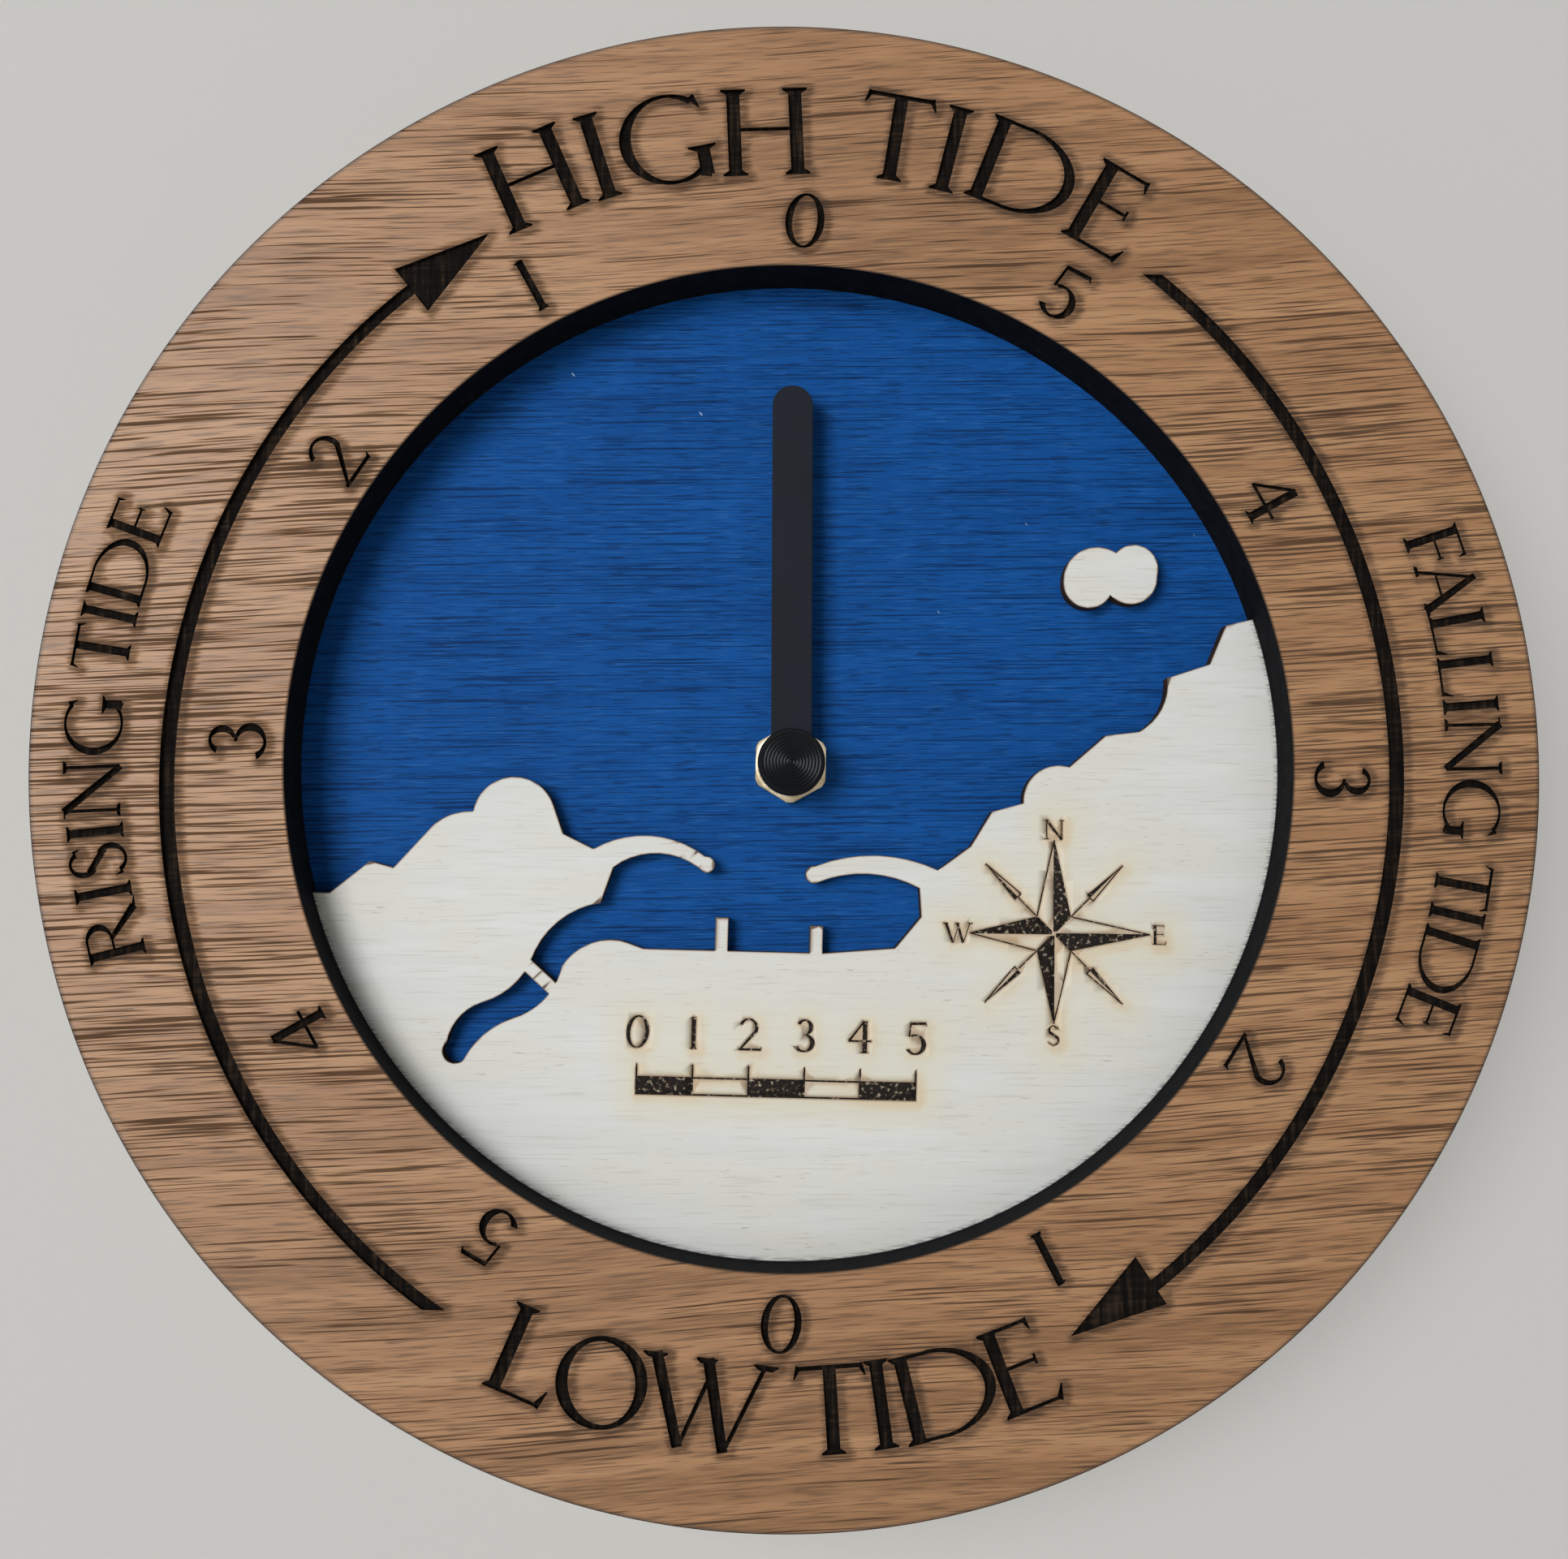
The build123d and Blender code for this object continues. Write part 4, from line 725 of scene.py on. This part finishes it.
# a plain chart scale: numbered divisions over a bar of dark and pale boxes
chartScale = {"left": -24.5, "right": 22.5, "boxes": 5, "boxLow": -56.2, "boxHigh": -53.4, "tickHigh": -51.2,
              "numeralBase": -48.6, "numeralHeight": 5.4, "hairline": 0.3}


def discProfile(inner, outer, back, front, edge):
    return [(inner, front), (outer - edge, front), (outer, front - edge), (outer, back + edge),
            (outer - edge, back), (inner, back)]


def makeSpacer():
    p = layers
    back, front = p["spacer"]
    shape = lathe(discProfile(p["opening"], p["outer"], back, front, p["edge"]), p["segments"])
    setPiece(shape, "blackSpacer", [blackPaint], "clock", ["spacer_ring"])


def makeBoard():
    p = layers
    back, front = p["board"]
    shape = lathe(discProfile(p["bushHole"], p["outer"], back, front, p["edge"]), p["segments"])
    for face in shape.faces:
        height = -face.calc_center_median().y / mm
        face.material_index = 0 if height > front - p["within"] else 1 if height < back + p["within"] else 2
    setPiece(shape, "seaBoard", [seaFace, boardBack, cutEdge], "clock", ["sea_board"])


def roseMarks():
    p = compassRose
    waistX, waistY = p["waist"]
    line = p["hairline"]
    along, aside = Vector((1, 1)).normalized(), Vector((-1, 1)).normalized()
    base, end, wing = along * p["rayFrom"], along * p["rayTo"], aside * p["rayHalf"]
    marks = []
    for turn, glyph in enumerate("NESW"):
        tip = p["points"][turn]
        middle = dialPlane @ Matrix.Translation((*p["middle"], 0)) @ Matrix.Rotation(radians(p["turn"]), 4,
                                                                                     "Z")
        place = middle @ Matrix.Rotation(-turn * pi / 2, 4, "Z")
        markFace(layerOf(marks, 0), place, [(0.05, tip), (waistX, waistY), (0.05, 0.2)])
        bars = [(0, tip, -waistX, waistY), (-waistX, waistY, -0.35, 0.36), (0, tip, 0, 0.4),
                (waistX, waistY, base.x, base.y),
                (base.x, base.y, base.x - wing.x, base.y - wing.y),
                (base.x - wing.x, base.y - wing.y, end.x, end.y)]
        for index, bar in enumerate(bars):
            markBar(layerOf(marks, index + 1), place, *bar, line, line)
        markFace(layerOf(marks, 7), place, [tuple(base), tuple(end), tuple(base + wing)])
        spot = Vector((0, tip + p["letterGap"][turn] + p["letterHeight"] / 2)) @ Matrix.Rotation(turn * pi / 2, 2)
        stand = Matrix.Translation((spot.x, spot.y - p["letterHeight"] / 2, 0))
        layerFrom = [layerOf(marks, 8 + index) for index in range(9)]
        markGlyph(layerFrom, middle @ stand @ Matrix.Scale(p["letterHeight"], 4), glyph)
    return marks


def scaleMarks(marks):
    p = chartScale
    step = (p["right"] - p["left"]) / p["boxes"]
    line = p["hairline"]
    for box in range(p["boxes"]):
        left = p["left"] + box * step
        if box % 2 == 0:
            markFace(layerOf(marks, 0), dialPlane, [(left, p["boxLow"]), (left + step, p["boxLow"]),
                                                    (left + step, p["boxHigh"]), (left, p["boxHigh"])])
    for height in (p["boxLow"], p["boxHigh"]):
        markBar(layerOf(marks, 1), dialPlane, p["left"] - line / 2, height, p["right"] + line / 2, height,
                line, line)
    for tick in range(p["boxes"] + 1):
        x = p["left"] + tick * step
        markBar(layerOf(marks, 2), dialPlane, x, p["boxLow"], x, p["tickHigh"], line, line)
        place = dialPlane @ Matrix.Translation((x, p["numeralBase"], 0)) @ Matrix.Scale(p["numeralHeight"], 4)
        markGlyph(marks, place, str(tick))
    return marks


def makeLandPiece(node, name, marks):
    p = layers
    back, front = p["land"]
    shape = carve(cadCopy(node), marks, front, p["etching"])
    for axis, high in (((1, 0, 0), p["gridRight"]), ((0, 0, 1), p["gridTop"])):
        for step in range(int((high - p["gridLow"]) / p["grid"])):
            cut = Vector(axis) * (p["gridLow"] + step * p["grid"] + p["gridShift"]) * mm
            bmesh.ops.bisect_plane(shape, geom=shape.verts[:] + shape.edges[:] + shape.faces[:], dist=1e-7,
                                   plane_co=cut, plane_no=axis)
    shape.normal_update()
    for face in shape.faces:
        height = -face.calc_center_median().y / mm
        flat = abs(face.normal.y) > p["flat"]
        if flat and height > front - p["within"]:
            face.material_index = 0
        elif flat and height < back + p["within"]:
            face.material_index = 3
        elif not reachesBack(face, back):
            face.material_index = 1
        else:
            face.material_index = 4 if dialDistance(face) > p["opening"] - p["rimWithin"] else 2
    meets = {edge: {face.material_index for face in edge.link_faces} for edge in shape.edges}
    coast = [edge for edge, kinds in meets.items() if kinds == {0, 2}]
    distances(shape, "coastDistance", coast)
    etched = [edge for edge, kinds in meets.items() if kinds == {0, 1}]
    distances(shape, "markDistance", etched)
    distances(shape, "sootDistance", etched, p["sootShift"])
    setPiece(shape, name, [landFace, roseEtching, cutEdge, boardBack, blackPaint], "clock", [node])


def reachesBack(face, back):
    return any(-corner.co.y / mm < back + layers["within"] for corner in face.verts)


makeSpacer()
makeBoard()
makeLandPiece("land_layer", "landLayer", scaleMarks(roseMarks()))
makeLandPiece("islet", "isletPiece", [])
print("dial layers made")


# Hand, cap and nut

# the cap's real rings are 0.37 mm apart, and are drawn coarser to show
handSet = {"edge": 0.1, "capFront": 27.2, "capBack": 25.2, "capRadius": 5.65, "capEdge": 0.35,
           "groove": 0.55, "grooveDepth": 0.10,
           "socketRadius": 2.56, "socketFront": 26.22, "nutBack": 19.6, "nutFront": 22.0, "nutFlats": 12.0,
           "nutTurned": 6.62,
           "nutBore": 4.02, "nutFace": 0.1, "nutEdge": 0.06, "nutSlope": 30, "capBackEdge": 0.15,
           "capSegments": 128,
           "nutSegments": 96, "sharp": 20, "nutSharp": 24}


def softenEdges(shape, width, above=30):  # rounds the edges sharper than so many degrees
    shape.normal_update()
    sharp = [edge for edge in shape.edges
             if len(edge.link_faces) == 2 and edge.calc_face_angle(0) > radians(above)]
    bmesh.ops.bevel(shape, geom=sharp, offset=width * mm, offset_type="OFFSET", affect="EDGES", segments=2,
                    profile=0.5,
                    material=-1, clamp_overlap=True)
    return shape


def makeHand():
    shape = softenEdges(cadCopy("tide_hand"), handSet["edge"])
    setPiece(shape, "tideHand", [handPaint], "hand", ["tide_hand"], handSet["sharp"])


def makeCap():
    p = handSet
    rim = p["capRadius"] - p["capEdge"]
    turns = int(rim / p["groove"])
    profile = [(0, p["capFront"])]
    for turn in range(turns):
        radius = turn * p["groove"]
        profile += [(radius + 0.5 * p["groove"], p["capFront"] - p["grooveDepth"]),
                    (radius + p["groove"], p["capFront"])]
    profile += [(rim + p["capEdge"] * sin(a * pi / 8), p["capFront"] - p["capEdge"] * (1 - cos(a * pi / 8)))
                for a in range(1, 5)]
    profile += [(p["capRadius"], p["capBack"] + p["capBackEdge"]),
                (p["capRadius"] - p["capBackEdge"], p["capBack"]), (p["socketRadius"], p["capBack"]),
                (p["socketRadius"], p["socketFront"]), (0, p["socketFront"])]
    setPiece(lathe(profile, p["capSegments"], False), "handCap", [capFinish], "hand", ["hand_cap"],
             handSet["sharp"])


def makeNut():
    p = handSet
    corner = p["nutFlats"] / 2 / cos(pi / 6)
    shape = bmesh.new()
    stand = dialPlane @ Matrix.Translation((0, 0, p["nutBack"]))
    bmesh.ops.create_circle(shape, cap_ends=True, segments=6, radius=corner, matrix=stand)
    top = bmesh.ops.extrude_face_region(shape, geom=shape.faces[:])["geom"]
    lift = Vector((0, -(p["nutFront"] - p["nutBack"]) * mm, 0))
    bmesh.ops.translate(shape, verts=[item for item in top if isinstance(item, bmesh.types.BMVert)], vec=lift)
    bmesh.ops.recalc_face_normals(shape, faces=shape.faces)
    flat, outer = p["nutFlats"] / 2 - p["nutFace"], p["nutTurned"]
    slope = (outer - flat) * tan(radians(p["nutSlope"]))
    turned = lathe([(0, p["nutFront"]), (flat, p["nutFront"]), (outer, p["nutFront"] - slope),
                    (outer, p["nutBack"] + slope), (flat, p["nutBack"]), (0, p["nutBack"])],
                   p["nutSegments"], False)
    radius, over, under = p["nutBore"], p["nutFront"] + 1, p["nutBack"] - 1
    bore = lathe([(0, over), (radius, over), (radius, under), (0, under)], 64, False)
    shape = combine(combine(shape, turned, "INTERSECT"), bore, "DIFFERENCE")
    shape = softenEdges(shape, p["nutEdge"], p["sharp"])
    setPiece(shape, "hexNut", [brass], "clock", ["mounting_nut"], p["nutSharp"])


makeHand()
makeCap()
makeNut()
print("hand, cap and nut made")


# Movement: case, cover, knob and cell

movement = {"caseEdge": 0.35, "coverEdge": 0.25, "knobEdge": 0.15, "cellRadius": 7.1, "cellEdge": 0.6,
            "nubRadius": 2.75,
            "nubLength": 1.2, "band": (9.0, 17.0), "foot": (2.2, 2.0, 1.0), "footDepth": 0.25, "crimp": 0.05,
            "topGroove": (1.2, 1.5, 0.5), "topDepth": 0.3, "sleeve": 1.3, "segments": 96, "sharp": 20}


def makeCell():
    p = movement
    low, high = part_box("battery")
    plus = 1 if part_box("positive_contact")[0].x > 0 else -1
    middle, half = (low + high) / 2, (high.x - low.x) / 2 / mm
    radius, edge, shoulder = p["cellRadius"], p["cellEdge"], half - p["nubLength"]
    heel, dent, sunk = p["crimp"] - half, p["footDepth"] - half, shoulder - p["topDepth"]
    inner, middling, outer = (radius - gap for gap in p["foot"])
    rim, groove, clear = p["topGroove"]
    nub, bend = p["nubRadius"], radius - edge
    quarter = [a * pi / 8 for a in range(5)]
    profile = [(0, -half), (inner, -half), (middling, dent), (outer, dent), (bend, heel)]
    profile += [(bend + edge * sin(a), heel + edge * (1 - cos(a))) for a in quarter[1:]]
    profile += [(bend + edge * cos(a), shoulder - edge + edge * sin(a)) for a in quarter]
    profile += [(radius - rim, shoulder), (radius - groove, sunk), (nub + clear, sunk), (nub, shoulder),
                (nub, half - p["topDepth"]), (nub - p["topDepth"], half), (0, half)]
    shape = lathe(profile, p["segments"], False)
    lay = Matrix.Translation(middle) @ Matrix.Rotation(plus * pi / 2, 4, "Z")
    bmesh.ops.transform(shape, matrix=lay, verts=shape.verts)
    for face in shape.faces:
        spot = (face.calc_center_median() - middle) / mm
        face.material_index = 0 if Vector((spot.y, spot.z)).length > radius - p["sleeve"] else 1
    band = sorted(middle.x + plus * edge * mm for edge in p["band"])
    setPiece(shape, "dryCell", [shrinkSleeve(*band), nickelSteel], "cell", ["battery"])


makeCell()
for node, edge, name, finish, body in (("front_case", "caseEdge", "caseFront", caseAbs, "clock"),
                                       ("rear_cover", "coverEdge", "caseCover", caseAbs, "clock"),
                                       ("set_knob", "knobEdge", "settingKnob", knobAbs, "setting_wheel")):
    setPiece(softenEdges(cadCopy(node), movement[edge]), name, [finish], body, [node],
             movement["sharp"])

nodeFinishes = {
    "rubber_washer": softRubber, "threaded_bush": brass, "hand_collar": brass, "stator": motorIron,
    "coil_core": motorIron,
    "quartz_crystal": nickelSteel, "positive_contact": nickelSteel, "negative_contact": nickelSteel,
    "rotor_magnet": ferrite,
    "coil_bobbin": caseAbs, "coil_winding": coilCopper, "circuit_board": boardGreen, "chip": chipEpoxy,
    "train_plate": wheelAcetal}
for node in ("tide_wheel", "minute_pinion", "minute_wheel", "centre_wheel", "third_wheel", "seconds_wheel",
             "fifth_wheel", "rotor_pinion"):
    nodeFinishes[node] = wheelAcetal
for node, finish in nodeFinishes.items():
    cadNodes[node].data.materials.clear()
    cadNodes[node].data.materials.append(finish)
print("movement finished:", len(nodeFinishes), "nodes kept")


# Camera, wall, floor and light

photoCamera = {
    "at": (-7.53, -306.42, -19.89), "pan": -0.0227, "tilt": 0.0603, "roll": 0.0274, "focal": 2061.47,
    "width": 1932,
    "sensor": 36.0, "clip": (0.01, 50.0)}


def makeCamera():
    p = photoCamera
    lens = bpy.data.cameras.new("photoCamera")
    lens.sensor_fit, lens.sensor_width = "HORIZONTAL", p["sensor"]
    lens.lens = p["focal"] * p["sensor"] / p["width"]
    lens.clip_start, lens.clip_end = p["clip"]
    camera = bpy.data.objects.new("photoCamera", lens)
    scene.collection.objects.link(camera)
    turn = Matrix.Rotation(pi / 2, 4, "X") @ Matrix.Rotation(p["pan"], 4, "Y")
    turn = turn @ Matrix.Rotation(p["tilt"], 4, "X") @ Matrix.Rotation(p["roll"], 4, "Z")
    camera.matrix_world = Matrix.Translation(Vector(p["at"]) * mm) @ turn
    scene.camera = camera


room = {
    "wallColour": "#c5c4c1", "floorColour": "#d8d6d1", "floorLevel": -0.22, "keyFrom": (-0.60, -1.0, 0.20),
    "keyDistance": 2.2,
    "keySize": 1.0, "keyPower": 39.5, "fill": 0.20, "backPower": 13.0, "wallPale": 0.6, "floorPale": 0.9,
    "reach": 3.0, "wallAt": 0.0012, "backFrom": (0.6, 1.0, 0.8), "backDistance": 1.3, "backSize": 0.9,
    "fillColour": "#f4f3f0", "backdrop": "#e9e8e5"}


def raysThatShow(tree):  # what the camera sees straight, in a mirror or through glass
    path = addNode(tree, "LightPath", {})
    bent = addNode(tree, "Math", {
        "operation": "MAXIMUM", 0: (path, "Is Glossy Ray"), 1: (path, "Is Transmission Ray")})
    return path, addNode(tree, "Math", {"operation": "MAXIMUM", 0: (path, "Is Camera Ray"), 1: bent})


def stageSheet(name, colour, pale, corners, oneSided):
    sheet = bmesh.new()
    sheet.faces.new([sheet.verts.new(corner) for corner in corners])
    mesh = bpy.data.meshes.new(name)
    sheet.to_mesh(mesh)
    sheet.free()
    material, tree, place = startMaterial(name + "Paint")
    roller = addNode(tree, "TexNoise", {"Vector": place, "Scale": 1 / (3.0 * mm), "Detail": 3.0})
    bump = addNode(tree, "Bump", {"Strength": 0.12, "Distance": 0.3 * mm, "Height": roller})
    path, seen = raysThatShow(tree)
    paint = addNode(tree, "BsdfDiffuse", {"Color": colour, "Normal": bump})
    glow = addNode(tree, "Emission", {"Color": colour})
    share = addNode(tree, "Math", {"operation": "MULTIPLY", 0: seen, 1: pale})
    surface = addNode(tree, "MixShader", {0: share, 1: paint, 2: glow})
    if oneSided:  # seen through from behind, and no shade for the light there
        back = addNode(tree, "NewGeometry", {})
        clear = addNode(tree, "BsdfTransparent", {})
        through = addNode(tree, "Math", {
            "operation": "MAXIMUM", 0: (back, "Backfacing"), 1: (path, "Is Shadow Ray")})
        surface = addNode(tree, "MixShader", {0: through, 1: surface, 2: clear})
    addNode(tree, "OutputMaterial", {"Surface": surface})
    mesh.materials.append(material)
    obj = bpy.data.objects.new(name, mesh)
    scene.collection.objects.link(obj)


def areaLamp(name, direction, distance, size, power):
    lamp = bpy.data.lights.new(name, "AREA")
    lamp.shape, lamp.size, lamp.energy = "SQUARE", size, power
    obj = bpy.data.objects.new(name, lamp)
    scene.collection.objects.link(obj)
    towards = Vector(direction).normalized()
    obj.matrix_world = Matrix.Translation(towards * distance) @ towards.to_track_quat("Z",
                                                                                      "Y").to_matrix().to_4x4()


def makeRoom():
    p = room
    reach, wall, floor = p["reach"], p["wallAt"], p["floorLevel"]
    standing = [(-reach, wall, floor), (reach, wall, floor), (reach, wall, reach), (-reach, wall, reach)]
    lying = [(-reach, -reach, floor), (reach, -reach, floor), (reach, reach, floor), (-reach, reach, floor)]
    stageSheet("wall", p["wallColour"], p["wallPale"], standing, True)
    stageSheet("floor", p["floorColour"], p["floorPale"], lying, False)
    areaLamp("windowLight", p["keyFrom"], p["keyDistance"], p["keySize"], p["keyPower"])
    areaLamp("backLight", p["backFrom"], p["backDistance"], p["backSize"], p["backPower"])
    world = bpy.data.worlds.new("softRoom")
    scene.world = world
    world.use_nodes = True
    tree = world.node_tree
    tree.nodes.clear()
    seen = raysThatShow(tree)[1]
    light = addNode(tree, "Background", {"Color": p["fillColour"], "Strength": p["fill"]})
    pale = addNode(tree, "Background", {"Color": p["backdrop"], "Strength": 1.0})
    mixed = addNode(tree, "MixShader", {0: seen, 1: light, 2: pale})
    addNode(tree, "OutputWorld", {"Surface": mixed})


makeCamera()
makeRoom()
print("camera and room set")
